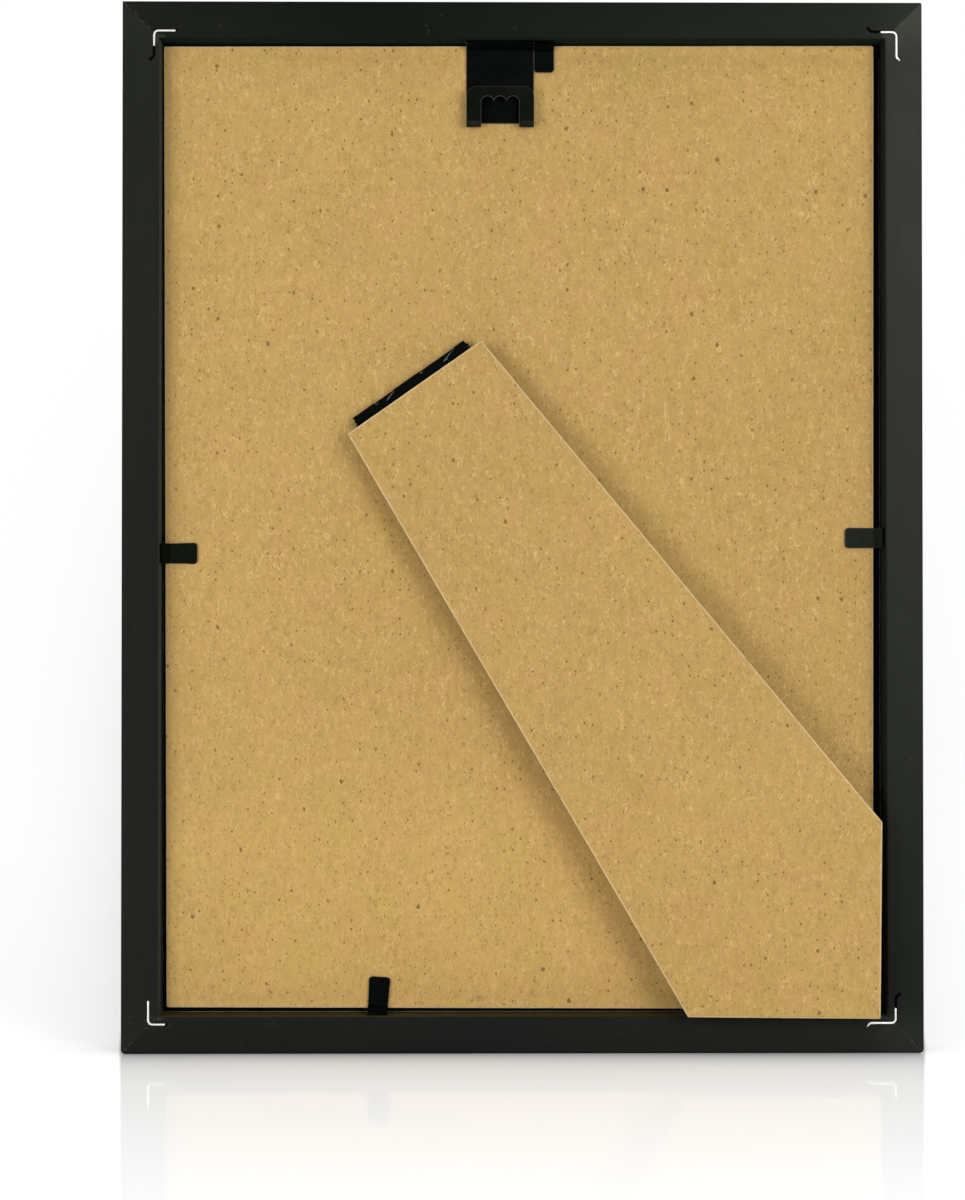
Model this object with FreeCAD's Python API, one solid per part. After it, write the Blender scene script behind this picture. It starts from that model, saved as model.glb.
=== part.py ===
"""Easel back photo frame for an 18 x 24 cm picture, in millimetres.

+Z is up and +X is to the right as seen from the picture side. -Y is the picture side and +Y is the back,
where the easel leg is. Left and right are named as seen from the picture side.
The origin is the middle of the frame's bottom face. The leg stands a little open.
"""
import FreeCAD, Part
import math
import os

Vector = FreeCAD.Vector

# Picture format, and the rebate that it lies in
pane_width = 180.0
pane_height = 240.0
pane_side_clearance = 0.2
pane_end_clearance = 1.3
pane_thickness = 2.0
insert_thickness = 0.25

# Rail moulding
rail_back_width = 9.2
lip_overlap = 4.8
lip_thickness = 4.0
frame_depth = 14.5
outer_edge_round = 0.8
rebate_edge_round = 0.4
sight_edge_bevel = 1.2

# Backing board, and its gaps to the rebate's walls
board_thickness = 2.75
board_gap_left = 2.2
board_gap_right = 0.9
board_gap_top = 0.6
board_gap_bottom = 0.8

# V-nail across each mitre
v_nail_apex_inset = 7.3
v_nail_leg = 6.4
v_nail_lip = 1.2
v_nail_lip_angle = 50.0
v_nail_thickness = 0.65
v_nail_bend_radius = 0.6
v_nail_height = 7.0
v_nail_sunk = 0.15
v_nail_clearance = 0.03

# Turn tabs: sheet strips that come out of the rebate's wall and bend down onto the board
tab_thickness = 0.5
tab_width = 5.0
tab_tip_round = 1.0
tab_root_depth = 6.0
tab_height_in_wall = 3.3
tab_bend_from_wall = 2.1
tab_bend_radius = 0.8
slot_clearance = 0.03
bend_axis_from_wall = 0.6
bend_gap = 0.1
strip_gap_to_board = 0.1
left_tab_z = 127.8
left_tab_reach = 9.5
right_tab_z = 123.9
right_tab_reach = 9.1
top_tab_x = -5.6
top_tab_reach = 7.4
bottom_tab_x = 36.1
bottom_tab_reach = 9.2
bottom_tab_lean = 3.5

# Hanger: a strip folded back on itself at its end, where it is cut to a sawtooth bar
hanger_x = 5.55
hanger_width = 16.9
hanger_thickness = 0.5
hanger_bend_from_wall = 1.8
hanger_bend_radius = 0.8
hanger_reach = 21.3
hanger_fold_gap = 2.0
hanger_fold_radius = 1.2
hanger_bar_from_wall = 11.4
hanger_bar_corner_round = 2.6
hanger_bar_depth = 2.4
hanger_leg_width = 3.7
hanger_notch_count = 3
hanger_notch_radius = 1.6
hanger_strip_setback = 1.1

# Easel leg, as it lies when it is shut
leg_thickness = 2.5
leg_tilt = 34.64
leg_top_x = 26.74
leg_top_z = 164.71
leg_top_width = 40.6
leg_foot_z = 9.9
leg_foot_width = 47.5
leg_side_x = -87.9
leg_side_height = 47.6
leg_corner_round = 0.4
leg_rest_opening = 2.0

# Barrel hinge between the board and the leg
barrel_radius = 1.75
barrel_length = 33.7
barrel_lift = 0.1
barrel_before_leg = 1.2
knuckle_ends = (6.4, 11.2, 19.7, 28.3)
knuckle_gap = 0.3
leaf_gap_to_knuckles = 0.4
leaf_thickness = 0.6
leaf_corner_round = 2.0
board_leaf_length = 14.0
leg_leaf_length = 17.0
pin_radius = 0.75
pin_clearance = 0.05
pin_overhang = 0.5

# Rivets of the board's leaf, and prongs of the leg's leaf
rivet_count = 3
rivet_spacing = 11.0
rivet_from_leg_top = 8.0
rivet_radius = 1.0
rivet_clearance = 0.05
rivet_head_radius = 1.9
rivet_head_height = 0.9
rivet_head_bevel = 0.35
rivet_tail_height = 0.6
rivet_tail_sunk = 0.15
rivet_tail_clearance = 0.2
prong_count = 4
prong_spacing = 8.0
prong_from_leg_top = 11.0
prong_length = 3.0
prong_thickness = 0.6
prong_height = 1.8
prong_clearance = 0.05

# Places that follow from the sizes above
rebate_width = pane_width + 2 * pane_side_clearance
rebate_height = pane_height + 2 * pane_end_clearance
outer_width = rebate_width + 2 * rail_back_width
outer_height = rebate_height + 2 * rail_back_width
rail_width = rail_back_width + lip_overlap
front_y = -frame_depth / 2
back_y = frame_depth / 2
seat_y = front_y + lip_thickness
insert_y = seat_y + pane_thickness
board_y = insert_y + insert_thickness
board_back_y = board_y + board_thickness
rebate_left_x = -rebate_width / 2
rebate_right_x = rebate_width / 2
rebate_bottom_z = rail_back_width
rebate_top_z = outer_height - rail_back_width
strip_wall_y = board_back_y + tab_height_in_wall
barrel_axis_height = barrel_lift + barrel_radius
leg_under_height = 2 * barrel_axis_height
down_leg = Vector(-math.sin(math.radians(leg_tilt)), 0, -math.cos(math.radians(leg_tilt)))
along_barrel = Vector(-math.cos(math.radians(leg_tilt)), 0, math.sin(math.radians(leg_tilt)))
leg_top_middle = Vector(leg_top_x, board_back_y, leg_top_z)
barrel_middle = leg_top_middle - down_leg * barrel_before_leg + Vector(0, barrel_axis_height, 0)


def block(low, high):
    """Box between two opposite corners."""
    return Part.makeBox(high[0] - low[0], high[1] - low[1], high[2] - low[2], Vector(*low))


def rounded_prism(corners, radii, depth):
    """Prism over an outline in the XY plane, half its depth on each side, each corner rounded by its radius."""
    edges = []
    starts = []
    ends = []
    for i, corner in enumerate(corners):
        to_before = (corners[i - 1] - corner).normalize()
        to_after = (corners[(i + 1) % len(corners)] - corner).normalize()
        half_angle = to_before.getAngle(to_after) / 2
        cut_back = radii[i] / math.tan(half_angle)
        start = corner + to_before * cut_back
        end = corner + to_after * cut_back
        if radii[i] > 0:
            inward = (to_before + to_after).normalize()
            middle = corner + inward * (radii[i] / math.sin(half_angle) - radii[i])
            edges.append(Part.Arc(start, middle, end).toShape())
        starts.append(start)
        ends.append(end)
    for i, start in enumerate(starts):
        if not start.isEqual(ends[i - 1], 1e-6):
            edges.append(Part.LineSegment(ends[i - 1], start).toShape())
    outline = Part.Wire(Part.__sortEdges__(edges))
    prism = Part.Face(outline).extrude(Vector(0, 0, depth))
    prism.translate(Vector(0, 0, -depth / 2))
    return prism


def bent_strip(points, radii, thickness, width):
    """Sheet strip seen edge-on in the XY plane, along the points. Each bend has its centreline radius."""
    left = []
    right = []
    left_radii = []
    right_radii = []
    for i, point in enumerate(points):
        before = points[max(i - 1, 0)]
        after = points[min(i + 1, len(points) - 1)]
        into = (point - before) if i > 0 else (after - point)
        out = (after - point) if i < len(points) - 1 else into
        into = Vector(into).normalize()
        out = Vector(out).normalize()
        side = Vector(-into.y - out.y, into.x + out.x, 0).normalize()
        reach = thickness / 2 / math.cos(into.getAngle(out) / 2)
        turn = into.x * out.y - into.y * out.x
        radius = radii[i - 1] if 0 < i < len(points) - 1 else 0
        grow = math.copysign(thickness / 2, turn) if radius > 0 else 0
        left.append(point + side * reach)
        right.append(point - side * reach)
        left_radii.append(radius - grow)
        right_radii.append(radius + grow)
    return rounded_prism(left + right[::-1], left_radii + right_radii[::-1], width)


def rod(radius, low, high, axis):
    """Cylinder from low along an axis to high."""
    return Part.makeCylinder(radius, high - low, axis * low, axis)


# A rail is drawn as the bottom one: its length along X about 0, its outer face at z = 0, its inside upwards.
RAIL_TURN = {"bottom": 0, "left": 90, "top": 180, "right": -90}


def on_rail(shape, side):
    """Move a shape from the drawing place of the bottom rail to the rail on a side."""
    across = {"left": -outer_width / 2, "right": outer_width / 2}.get(side, 0)
    up = {"bottom": 0, "top": outer_height}.get(side, outer_height / 2)
    moved = shape.copy()
    onto = FreeCAD.Placement(Vector(across, 0, up), FreeCAD.Rotation(Vector(0, 1, 0), RAIL_TURN[side]))
    moved.Placement = onto.multiply(moved.Placement)
    return moved


def along_rail(place, side):
    """Where a place of the frame, X on a level rail or Z on an upright one, lies along the drawn rail."""
    if side == "bottom":
        return place
    if side == "top":
        return -place
    from_middle = place - outer_height / 2
    return from_middle if side == "right" else -from_middle


def rail_moulding(length):
    """Moulding of one rail with its rebate and lip, mitred at both ends."""
    corners = [
        Vector(0, front_y, 0),
        Vector(rail_width, front_y, 0),
        Vector(rail_width, seat_y, 0),
        Vector(rail_back_width, seat_y, 0),
        Vector(rail_back_width, back_y, 0),
        Vector(0, back_y, 0),
    ]
    radii = [outer_edge_round, sight_edge_bevel, 0, 0, rebate_edge_round, outer_edge_round]
    moulding = rounded_prism(corners, radii, length)
    moulding.rotate(Vector(0, 0, 0), Vector(0, 1, 0), -90)
    mitred = [
        Vector(-length / 2, 0, 0),
        Vector(length / 2, 0, 0),
        Vector(length / 2 - rail_width, rail_width, 0),
        Vector(rail_width - length / 2, rail_width, 0),
    ]
    trim = rounded_prism(mitred, [0] * len(mitred), 2 * frame_depth)
    trim.rotate(Vector(0, 0, 0), Vector(1, 0, 0), 90)
    return moulding.common(trim)


def v_nail(thickness, low_y, high_y):
    """V-nail at the bottom left corner, its apex on the mitre and its lips turned to the outer faces."""
    lip_run = v_nail_lip * math.cos(math.radians(v_nail_lip_angle))
    lip_rise = v_nail_lip * math.sin(math.radians(v_nail_lip_angle))
    far = v_nail_apex_inset + v_nail_leg
    points = [
        Vector(v_nail_apex_inset - lip_rise, far + lip_run, 0),
        Vector(v_nail_apex_inset, far, 0),
        Vector(v_nail_apex_inset, v_nail_apex_inset, 0),
        Vector(far, v_nail_apex_inset, 0),
        Vector(far + lip_run, v_nail_apex_inset - lip_rise, 0),
    ]
    nail = bent_strip(points, [v_nail_bend_radius] * (len(points) - 2), thickness, high_y - low_y)
    nail.rotate(Vector(0, 0, 0), Vector(1, 0, 0), 90)
    nail.translate(Vector(-outer_width / 2, (low_y + high_y) / 2, 0))
    return nail


def at_every_corner(shape):
    """The shape of the bottom left corner, and its mirror images at the other three."""
    across = shape.mirror(Vector(0, 0, 0), Vector(1, 0, 0))
    middle = Vector(0, 0, outer_height / 2)
    return [shape, across, shape.mirror(middle, Vector(0, 0, 1)), across.mirror(middle, Vector(0, 0, 1))]


def corner_v_nails():
    """The four nails, driven a little below the rails' back faces."""
    high_y = back_y - v_nail_sunk
    return at_every_corner(v_nail(v_nail_thickness, high_y - v_nail_height, high_y))


def v_nail_slots():
    """Cuts that take the nails, open to the rails' back faces."""
    low_y = back_y - v_nail_sunk - v_nail_height - v_nail_clearance
    return at_every_corner(v_nail(v_nail_thickness + 2 * v_nail_clearance, low_y, back_y + v_nail_clearance))


def strip_height(thickness):
    """Height in Y of the middle of a sheet that lies on the board."""
    return board_back_y + strip_gap_to_board + thickness / 2


def from_wall(shape):
    """Turn a strip drawn edge-on, with x away from the rebate's wall and y its Y, onto the bottom rail."""
    shape.rotate(Vector(0, 0, 0), Vector(0, 1, 0), -90)
    shape.translate(Vector(0, 0, rail_back_width))
    return shape


def strip_root(width, thickness, clearance):
    """Straight end of a tab or hanger that is driven into the wall, or with a clearance the slot for it."""
    low = Vector(-tab_root_depth - clearance, strip_wall_y, 0)
    high = Vector(bend_axis_from_wall - thickness / 2 - bend_gap, strip_wall_y, 0)
    return from_wall(bent_strip([low, high], [], thickness + 2 * clearance, width + 2 * clearance))


def bend_round(width, thickness):
    """Rounded end of a strip about the line that it bends on."""
    drum = Part.makeCylinder(thickness / 2, width, Vector(bend_axis_from_wall, strip_wall_y, -width / 2))
    return from_wall(drum)


def tab_blade(reach):
    """Part of a turn tab that lies on the board and bends up."""
    points = [
        Vector(bend_axis_from_wall, strip_wall_y, 0),
        Vector(tab_bend_from_wall, strip_height(tab_thickness), 0),
        Vector(reach, strip_height(tab_thickness), 0),
    ]
    blade = from_wall(bent_strip(points, [tab_bend_radius], tab_thickness, tab_width))
    blade = blade.fuse(bend_round(tab_width, tab_thickness))
    outline = [
        Vector(-tab_width / 2, 0, 0),
        Vector(tab_width / 2, 0, 0),
        Vector(tab_width / 2, rail_back_width + reach, 0),
        Vector(-tab_width / 2, rail_back_width + reach, 0),
    ]
    plan = rounded_prism(outline, [0, 0, tab_tip_round, tab_tip_round], 2 * frame_depth)
    plan.rotate(Vector(0, 0, 0), Vector(1, 0, 0), 90)
    return blade.common(plan)


def tab_part(shape, side, place, lean):
    """Put a piece of a tab on its rail."""
    moved = shape.copy()
    moved.rotate(Vector(0, 0, rail_back_width), Vector(0, 1, 0), -lean)
    moved.translate(Vector(along_rail(place, side), 0, 0))
    return on_rail(moved, side)


def hanger_strip():
    """Moving part of the hanger: down onto the board, along it, and folded back to its sawtooth bar."""
    flat_y = strip_height(hanger_thickness)
    folded_y = flat_y + hanger_thickness + hanger_fold_gap
    fold = hanger_reach - hanger_thickness / 2
    points = [
        Vector(bend_axis_from_wall, strip_wall_y, 0),
        Vector(hanger_bend_from_wall, flat_y, 0),
        Vector(fold, flat_y, 0),
        Vector(fold, folded_y, 0),
        Vector(hanger_bar_from_wall, folded_y, 0),
    ]
    radii = [hanger_bend_radius, hanger_fold_radius, hanger_fold_radius]
    strip = from_wall(bent_strip(points, radii, hanger_thickness, hanger_width))
    strip = strip.fuse(bend_round(hanger_width, hanger_thickness))
    split_y = (flat_y + folded_y) / 2
    return strip.cut(hanger_window(split_y)).cut(hanger_strip_end(split_y)).cut(hanger_bar_corners(split_y))


def hanger_window(split_y):
    """Opening below the bar between the folded legs, with a round notch between each two teeth."""
    gap = hanger_width - 2 * hanger_leg_width
    pitch = gap / hanger_notch_count
    notch_z = rail_back_width + hanger_bar_from_wall + hanger_bar_depth + hanger_notch_radius
    tip_z = notch_z - math.sqrt(hanger_notch_radius ** 2 - (pitch / 2) ** 2)
    end_z = rail_back_width + hanger_reach + hanger_thickness
    window = block((-gap / 2, split_y, tip_z), (gap / 2, back_y, end_z))
    for i in range(hanger_notch_count):
        middle_x = (i - (hanger_notch_count - 1) / 2) * pitch
        notch = Part.makeCylinder(
            hanger_notch_radius, back_y - split_y, Vector(middle_x, split_y, notch_z), Vector(0, 1, 0)
        )
        window = window.fuse(notch.common(block((-gap / 2, split_y, 0), (gap / 2, back_y, end_z))))
    return window


def hanger_strip_end(split_y):
    """Cut that ends the strip's middle before the fold."""
    half_gap = hanger_width / 2 - hanger_leg_width
    start_z = rail_back_width + hanger_reach - hanger_strip_setback
    end_z = rail_back_width + hanger_reach + hanger_thickness
    return block((-half_gap, board_y, start_z), (half_gap, split_y, end_z))


def hanger_bar_corners(split_y):
    """Cut that rounds the two free corners of the bar."""
    bar_z = rail_back_width + hanger_bar_from_wall
    half = hanger_width / 2
    full = block((-half - 1, split_y, bar_z), (half + 1, back_y, bar_z + hanger_bar_corner_round))
    outline = [
        Vector(-half, bar_z, 0),
        Vector(half, bar_z, 0),
        Vector(half, bar_z + 2 * hanger_bar_corner_round, 0),
        Vector(-half, bar_z + 2 * hanger_bar_corner_round, 0),
    ]
    kept = rounded_prism(outline, [hanger_bar_corner_round, hanger_bar_corner_round, 0, 0], 4 * frame_depth)
    kept.rotate(Vector(0, 0, 0), Vector(1, 0, 0), 90)
    return full.cut(kept)


def from_hinge(shape):
    """Place a shape drawn at the hinge: x down the leg from its top, y along the barrel, z off the board."""
    moved = shape.copy()
    turn = FreeCAD.Rotation(down_leg, along_barrel, Vector(0, 1, 0), "ZXY")
    moved.Placement = FreeCAD.Placement(leg_top_middle, turn).multiply(moved.Placement)
    return moved


def opened(shape):
    """Turn a shape of the shut leg about the barrel to the leg's rest opening."""
    moved = shape.copy()
    moved.rotate(barrel_middle, along_barrel, -leg_rest_opening)
    return moved


def knuckle_spans(first):
    """Every second stretch of the barrel, from the first one given, without the gaps between knuckles."""
    ends = [0.0, *knuckle_ends, barrel_length]
    spans = []
    for i in range(first, len(ends) - 1, 2):
        low = ends[i] + (knuckle_gap / 2 if i > 0 else 0)
        high = ends[i + 1] - (knuckle_gap / 2 if i < len(ends) - 2 else 0)
        spans.append((low - barrel_length / 2, high - barrel_length / 2))
    return spans


def hinge_leaf(first_knuckle, length, low_z):
    """Leaf with its knuckles. Its plate lies from low_z up, and reaches down the leg by length."""
    plate_start = barrel_radius - barrel_before_leg + leaf_gap_to_knuckles
    outline = [
        Vector(plate_start, -barrel_length / 2, 0),
        Vector(length, -barrel_length / 2, 0),
        Vector(length, barrel_length / 2, 0),
        Vector(plate_start, barrel_length / 2, 0),
    ]
    leaf = rounded_prism(outline, [0, leaf_corner_round, leaf_corner_round, 0], leaf_thickness)
    leaf.translate(Vector(0, 0, low_z + leaf_thickness / 2))
    for low_y, high_y in knuckle_spans(first_knuckle):
        tongue = block((-barrel_before_leg, low_y, low_z), (plate_start, high_y, low_z + leaf_thickness))
        ring = rod(barrel_radius, low_y, high_y, Vector(0, 1, 0))
        ring.translate(Vector(-barrel_before_leg, 0, barrel_axis_height))
        leaf = leaf.fuse(tongue).fuse(ring)
    bore = rod(pin_radius + pin_clearance, -barrel_length, barrel_length, Vector(0, 1, 0))
    bore.translate(Vector(-barrel_before_leg, 0, barrel_axis_height))
    return leaf.cut(bore).removeSplitter()


def rivet_places():
    """Distances along the barrel of the rivets in the board's leaf."""
    return [(i - (rivet_count - 1) / 2) * rivet_spacing for i in range(rivet_count)]


def upright(radius, place, low_z, high_z):
    """Cylinder off the board at a rivet's place."""
    return Part.makeCylinder(radius, high_z - low_z, Vector(rivet_from_leg_top, place, low_z))


def board_rivet(place):
    """Rivet with a bevelled head on the leaf and a clenched tail in the board's counterbore."""
    head_top = leaf_thickness + rivet_head_height
    bevel_z = head_top - rivet_head_bevel
    tail_z = rivet_tail_sunk - board_thickness
    head = upright(rivet_head_radius, place, leaf_thickness, bevel_z)
    crown = Part.makeCone(
        rivet_head_radius, rivet_head_radius - rivet_head_bevel, rivet_head_bevel,
        Vector(rivet_from_leg_top, place, bevel_z),
    )
    tail = upright(rivet_head_radius, place, tail_z, tail_z + rivet_tail_height)
    shank = upright(rivet_radius, place, tail_z, bevel_z)
    return head.fuse(crown).fuse(tail).fuse(shank).removeSplitter()


def rivet_holes(low_z, high_z):
    """Clearance holes for the rivets' shanks between two heights."""
    return [upright(rivet_radius + rivet_clearance, place, low_z, high_z) for place in rivet_places()]


def prong_blocks(clearance):
    """Prongs of the leg's leaf, or with a clearance the slots for them."""
    blocks = []
    for i in range(prong_count):
        place = (i - (prong_count - 1) / 2) * prong_spacing
        low = (
            prong_from_leg_top - clearance,
            place - prong_thickness / 2 - clearance,
            leg_under_height - leaf_thickness / 2,
        )
        high = (
            prong_from_leg_top + prong_length + clearance,
            place + prong_thickness / 2 + clearance,
            leg_under_height + prong_height + clearance,
        )
        blocks.append(block(low, high))
    return blocks


def hinge_board_leaf():
    leaf = hinge_leaf(0, board_leaf_length, 0)
    return from_hinge(leaf.cut(rivet_holes(-leaf_thickness, 2 * leaf_thickness)))


def hinge_leg_leaf():
    leaf = hinge_leaf(1, leg_leaf_length, leg_under_height - leaf_thickness)
    return opened(from_hinge(leaf.fuse(prong_blocks(0)).removeSplitter()))


def hinge_pin():
    half = barrel_length / 2 + pin_overhang
    pin = rod(pin_radius, -half, half, Vector(0, 1, 0))
    pin.translate(Vector(-barrel_before_leg, 0, barrel_axis_height))
    return from_hinge(pin)


def board_rivets():
    return from_hinge(Part.makeCompound([board_rivet(place) for place in rivet_places()]))


def easel_leg():
    """Five-sided leg: square to the barrel at its top, level at its foot and upright on its outer side."""
    half_top_x = -along_barrel.x * leg_top_width / 2
    half_top_z = -along_barrel.z * leg_top_width / 2
    corners = [
        Vector(leg_top_x + half_top_x, leg_top_z + half_top_z, 0),
        Vector(leg_top_x - half_top_x, leg_top_z - half_top_z, 0),
        Vector(leg_side_x, leg_foot_z + leg_side_height, 0),
        Vector(leg_side_x, leg_foot_z, 0),
        Vector(leg_side_x + leg_foot_width, leg_foot_z, 0),
    ]
    leg = rounded_prism(corners, [leg_corner_round] * len(corners), leg_thickness)
    leg.rotate(Vector(0, 0, 0), Vector(1, 0, 0), 90)
    leg.translate(Vector(0, board_back_y + leg_under_height + leg_thickness / 2, 0))
    for slot in prong_blocks(prong_clearance):
        leg = leg.cut(from_hinge(slot))
    return opened(leg)


def backing_board():
    """Board with holes for the rivets, and counterbores on its picture side for their tails."""
    board = block(
        (rebate_left_x + board_gap_left, board_y, rebate_bottom_z + board_gap_bottom),
        (rebate_right_x - board_gap_right, board_back_y, rebate_top_z - board_gap_top),
    )
    sink_top = rivet_tail_sunk + rivet_tail_height - board_thickness
    for hole in rivet_holes(-2 * board_thickness, board_thickness):
        board = board.cut(from_hinge(hole))
    for place in rivet_places():
        sink = upright(rivet_head_radius + rivet_tail_clearance, place, -2 * board_thickness, sink_top)
        board = board.cut(from_hinge(sink))
    return board


def pane(low_y, thickness):
    """Sheet of the picture format, standing on the bottom of the rebate."""
    return block(
        (-pane_width / 2, low_y, rebate_bottom_z),
        (pane_width / 2, low_y + thickness, rebate_bottom_z + pane_height),
    )


def main():
    pieces = {}
    tabs = [
        ("left_tab", "left", left_tab_z, left_tab_reach, 0),
        ("right_tab", "right", right_tab_z, right_tab_reach, 0),
        ("top_tab", "top", top_tab_x, top_tab_reach, 0),
        ("bottom_tab", "bottom", bottom_tab_x, bottom_tab_reach, bottom_tab_lean),
    ]
    slots = {side: [] for side in RAIL_TURN}
    for name, side, place, reach, lean in tabs:
        pieces[name + "_root"] = tab_part(strip_root(tab_width, tab_thickness, 0), side, place, lean)
        pieces[name] = tab_part(tab_blade(reach), side, place, lean)
        slots[side].append(tab_part(strip_root(tab_width, tab_thickness, slot_clearance), side, place, lean))

    hanger_root = strip_root(hanger_width, hanger_thickness, 0)
    pieces["hanger_root"] = tab_part(hanger_root, "top", hanger_x, 0)
    pieces["sawtooth_hanger"] = tab_part(hanger_strip(), "top", hanger_x, 0)
    hanger_slot = strip_root(hanger_width, hanger_thickness, slot_clearance)
    slots["top"].append(tab_part(hanger_slot, "top", hanger_x, 0))

    nail_slots = v_nail_slots()
    for side in RAIL_TURN:
        length = outer_height if side in ("left", "right") else outer_width
        rail = on_rail(rail_moulding(length), side)
        for slot in slots[side] + nail_slots:
            rail = rail.cut(slot)
        pieces[side + "_rail"] = rail

    pieces["corner_v_nails"] = Part.makeCompound(corner_v_nails())
    pieces["glass_pane"] = pane(seat_y, pane_thickness)
    pieces["photo_insert"] = pane(insert_y, insert_thickness)
    pieces["backing_board"] = backing_board()
    pieces["hinge_board_leaf"] = hinge_board_leaf()
    pieces["hinge_leg_leaf"] = hinge_leg_leaf()
    pieces["hinge_pin"] = hinge_pin()
    pieces["board_rivets"] = board_rivets()
    pieces["easel_leg"] = easel_leg()

    os.makedirs("parts", exist_ok=True)
    for name, shape in pieces.items():
        shape.exportStep(os.path.join("parts", name + ".step"))
        box = shape.BoundBox
        print(
            f"{name:18s} solids {len(shape.Solids)} valid {shape.isValid()} volume {shape.Volume:10.2f} "
            f"x {box.XMin:7.2f} {box.XMax:7.2f} y {box.YMin:6.2f} {box.YMax:6.2f} "
            f"z {box.ZMin:7.2f} {box.ZMax:7.2f}"
        )


main()
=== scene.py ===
# %% [markdown]
# # An easel back photo frame, seen from behind
#
# This lesson dresses a measured model of a small photo frame. The measured model fixes every size and every
# moving part. Here each piece gets the shape and the finish that a close look shows: wrapped mouldings with
# mitred corners, bare hardboard, stamped black steel and driven V-nails.
# The frame stands on its bottom rail. X is across the picture, Y is the depth with the back at +Y, Z is up.

# %% Load the measured frame
import math
from contextlib import contextmanager

import bmesh
import bpy
from mathutils import Matrix, Vector, noise


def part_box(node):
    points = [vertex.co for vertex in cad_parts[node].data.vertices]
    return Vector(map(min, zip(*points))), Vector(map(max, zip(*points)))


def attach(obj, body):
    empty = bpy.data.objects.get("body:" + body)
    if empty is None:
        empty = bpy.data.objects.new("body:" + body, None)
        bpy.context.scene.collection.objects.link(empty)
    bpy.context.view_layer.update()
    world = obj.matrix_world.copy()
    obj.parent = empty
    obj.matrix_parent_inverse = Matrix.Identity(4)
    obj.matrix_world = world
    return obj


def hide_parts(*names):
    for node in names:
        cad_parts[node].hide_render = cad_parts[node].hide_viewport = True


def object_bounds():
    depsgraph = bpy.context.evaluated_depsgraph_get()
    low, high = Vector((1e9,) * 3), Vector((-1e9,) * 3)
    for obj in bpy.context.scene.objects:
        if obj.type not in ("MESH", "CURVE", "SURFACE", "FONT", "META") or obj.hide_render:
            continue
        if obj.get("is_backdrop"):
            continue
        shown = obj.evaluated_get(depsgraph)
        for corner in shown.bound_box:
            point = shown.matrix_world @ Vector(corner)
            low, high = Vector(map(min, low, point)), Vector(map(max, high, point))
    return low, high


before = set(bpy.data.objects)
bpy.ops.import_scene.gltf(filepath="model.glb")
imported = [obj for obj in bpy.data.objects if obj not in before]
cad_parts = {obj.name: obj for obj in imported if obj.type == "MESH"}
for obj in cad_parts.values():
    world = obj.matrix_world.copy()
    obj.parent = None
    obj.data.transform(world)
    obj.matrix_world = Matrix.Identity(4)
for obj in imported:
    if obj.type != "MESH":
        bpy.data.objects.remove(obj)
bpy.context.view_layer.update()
MM = 0.001

# %% [markdown]
# ## Sizes
#
# All shapes are drawn in millimetres and shrunk to metres at the very end. That keeps the numbers readable,
# and keeps merge distances and Boolean cuts well away from rounding errors.
# Places are read off the measured nodes where that can be done. The rest are the joiner's own sizes.

# %% Sizes in millimetres
def box_mm(node):
    """Lowest and highest corner of a measured node, in millimetres."""
    low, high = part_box(node)
    return low / MM, high / MM


outer_width = 2 * box_mm("right_rail")[1].x
outer_height = box_mm("top_rail")[1].z
half_width, half_height = outer_width / 2, outer_height / 2
front_y, back_y = box_mm("top_rail")[0].y, box_mm("top_rail")[1].y
rail_front_width = box_mm("bottom_rail")[1].z
rail_back_width = 9.2
lip_thickness = 4.0
board_low, board_high = box_mm("backing_board")
board_back_y = board_high.y
print(f"Frame {outer_width:.1f} x {outer_height:.1f} mm, board back at y {board_back_y:.2f}")

# %% [markdown]
# ## Camera
#
# The camera stands about 60 cm behind the frame, a little to one side of its middle and just under half its
# height. A fit of the frame's corners gave its lens: 2424 pixels in a picture that is 1200 pixels high, which
# is turned into millimetres on a sensor with a long side of 36 mm.

# %% Camera
image_height = 1200
focal_pixels = 2424
sensor_size = 36.0
camera_place = Vector((14.83, 607.66, 105.03))
camera_aim = Vector((9.99, 7.25, 112.22))


def stand_and_aim(made, place, aim):
    """Link a camera or a lamp to the scene, at a place in millimetres and turned to a point."""
    made.location = place * MM
    made.rotation_euler = (aim - place).to_track_quat("-Z", "Y").to_euler()
    bpy.context.collection.objects.link(made)


camera_data = bpy.data.cameras.new("camera")
camera_data.sensor_width = sensor_size
camera_data.lens = sensor_size * focal_pixels / image_height
camera = bpy.data.objects.new("camera", camera_data)
stand_and_aim(camera, camera_place, camera_aim)
bpy.context.scene.camera = camera
bpy.context.scene.view_settings.view_transform = "Standard"
print("Lens", round(camera_data.lens, 2), "mm")

# %% [markdown]
# ## Node helpers
#
# Geometry trees and shader trees are both lists of nodes and links. A small class stands for the output of a
# node. Sums and products of such wires add Math nodes by themselves, so a rule in a tree reads like the
# formula that it is.

# %% Wires between nodes
class Wire:
    """Output of a node. Arithmetic on wires adds Math nodes to their tree."""

    def __init__(self, socket):
        self.socket = socket
        self.tree = socket.id_data

    def output(self, key):
        """Another output of the same node."""
        return Wire(self.socket.node.outputs[key])

    def split(self):
        """The three parts of a vector."""
        parts = add(self.tree, "ShaderNodeSeparateXYZ", {0: self})
        return [parts.output(axis) for axis in range(3)]

    def __add__(self, other):
        return maths("ADD", self, other)

    def __sub__(self, other):
        return maths("SUBTRACT", self, other)

    def __rsub__(self, other):
        return maths("SUBTRACT", other, self)

    def __mul__(self, other):
        return maths("MULTIPLY", self, other)

    def __truediv__(self, other):
        return maths("DIVIDE", self, other)

    def __rtruediv__(self, other):
        return maths("DIVIDE", other, self)

    def __neg__(self):
        return maths("MULTIPLY", self, -1.0)

    def __abs__(self):
        return maths("ABSOLUTE", self)


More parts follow.
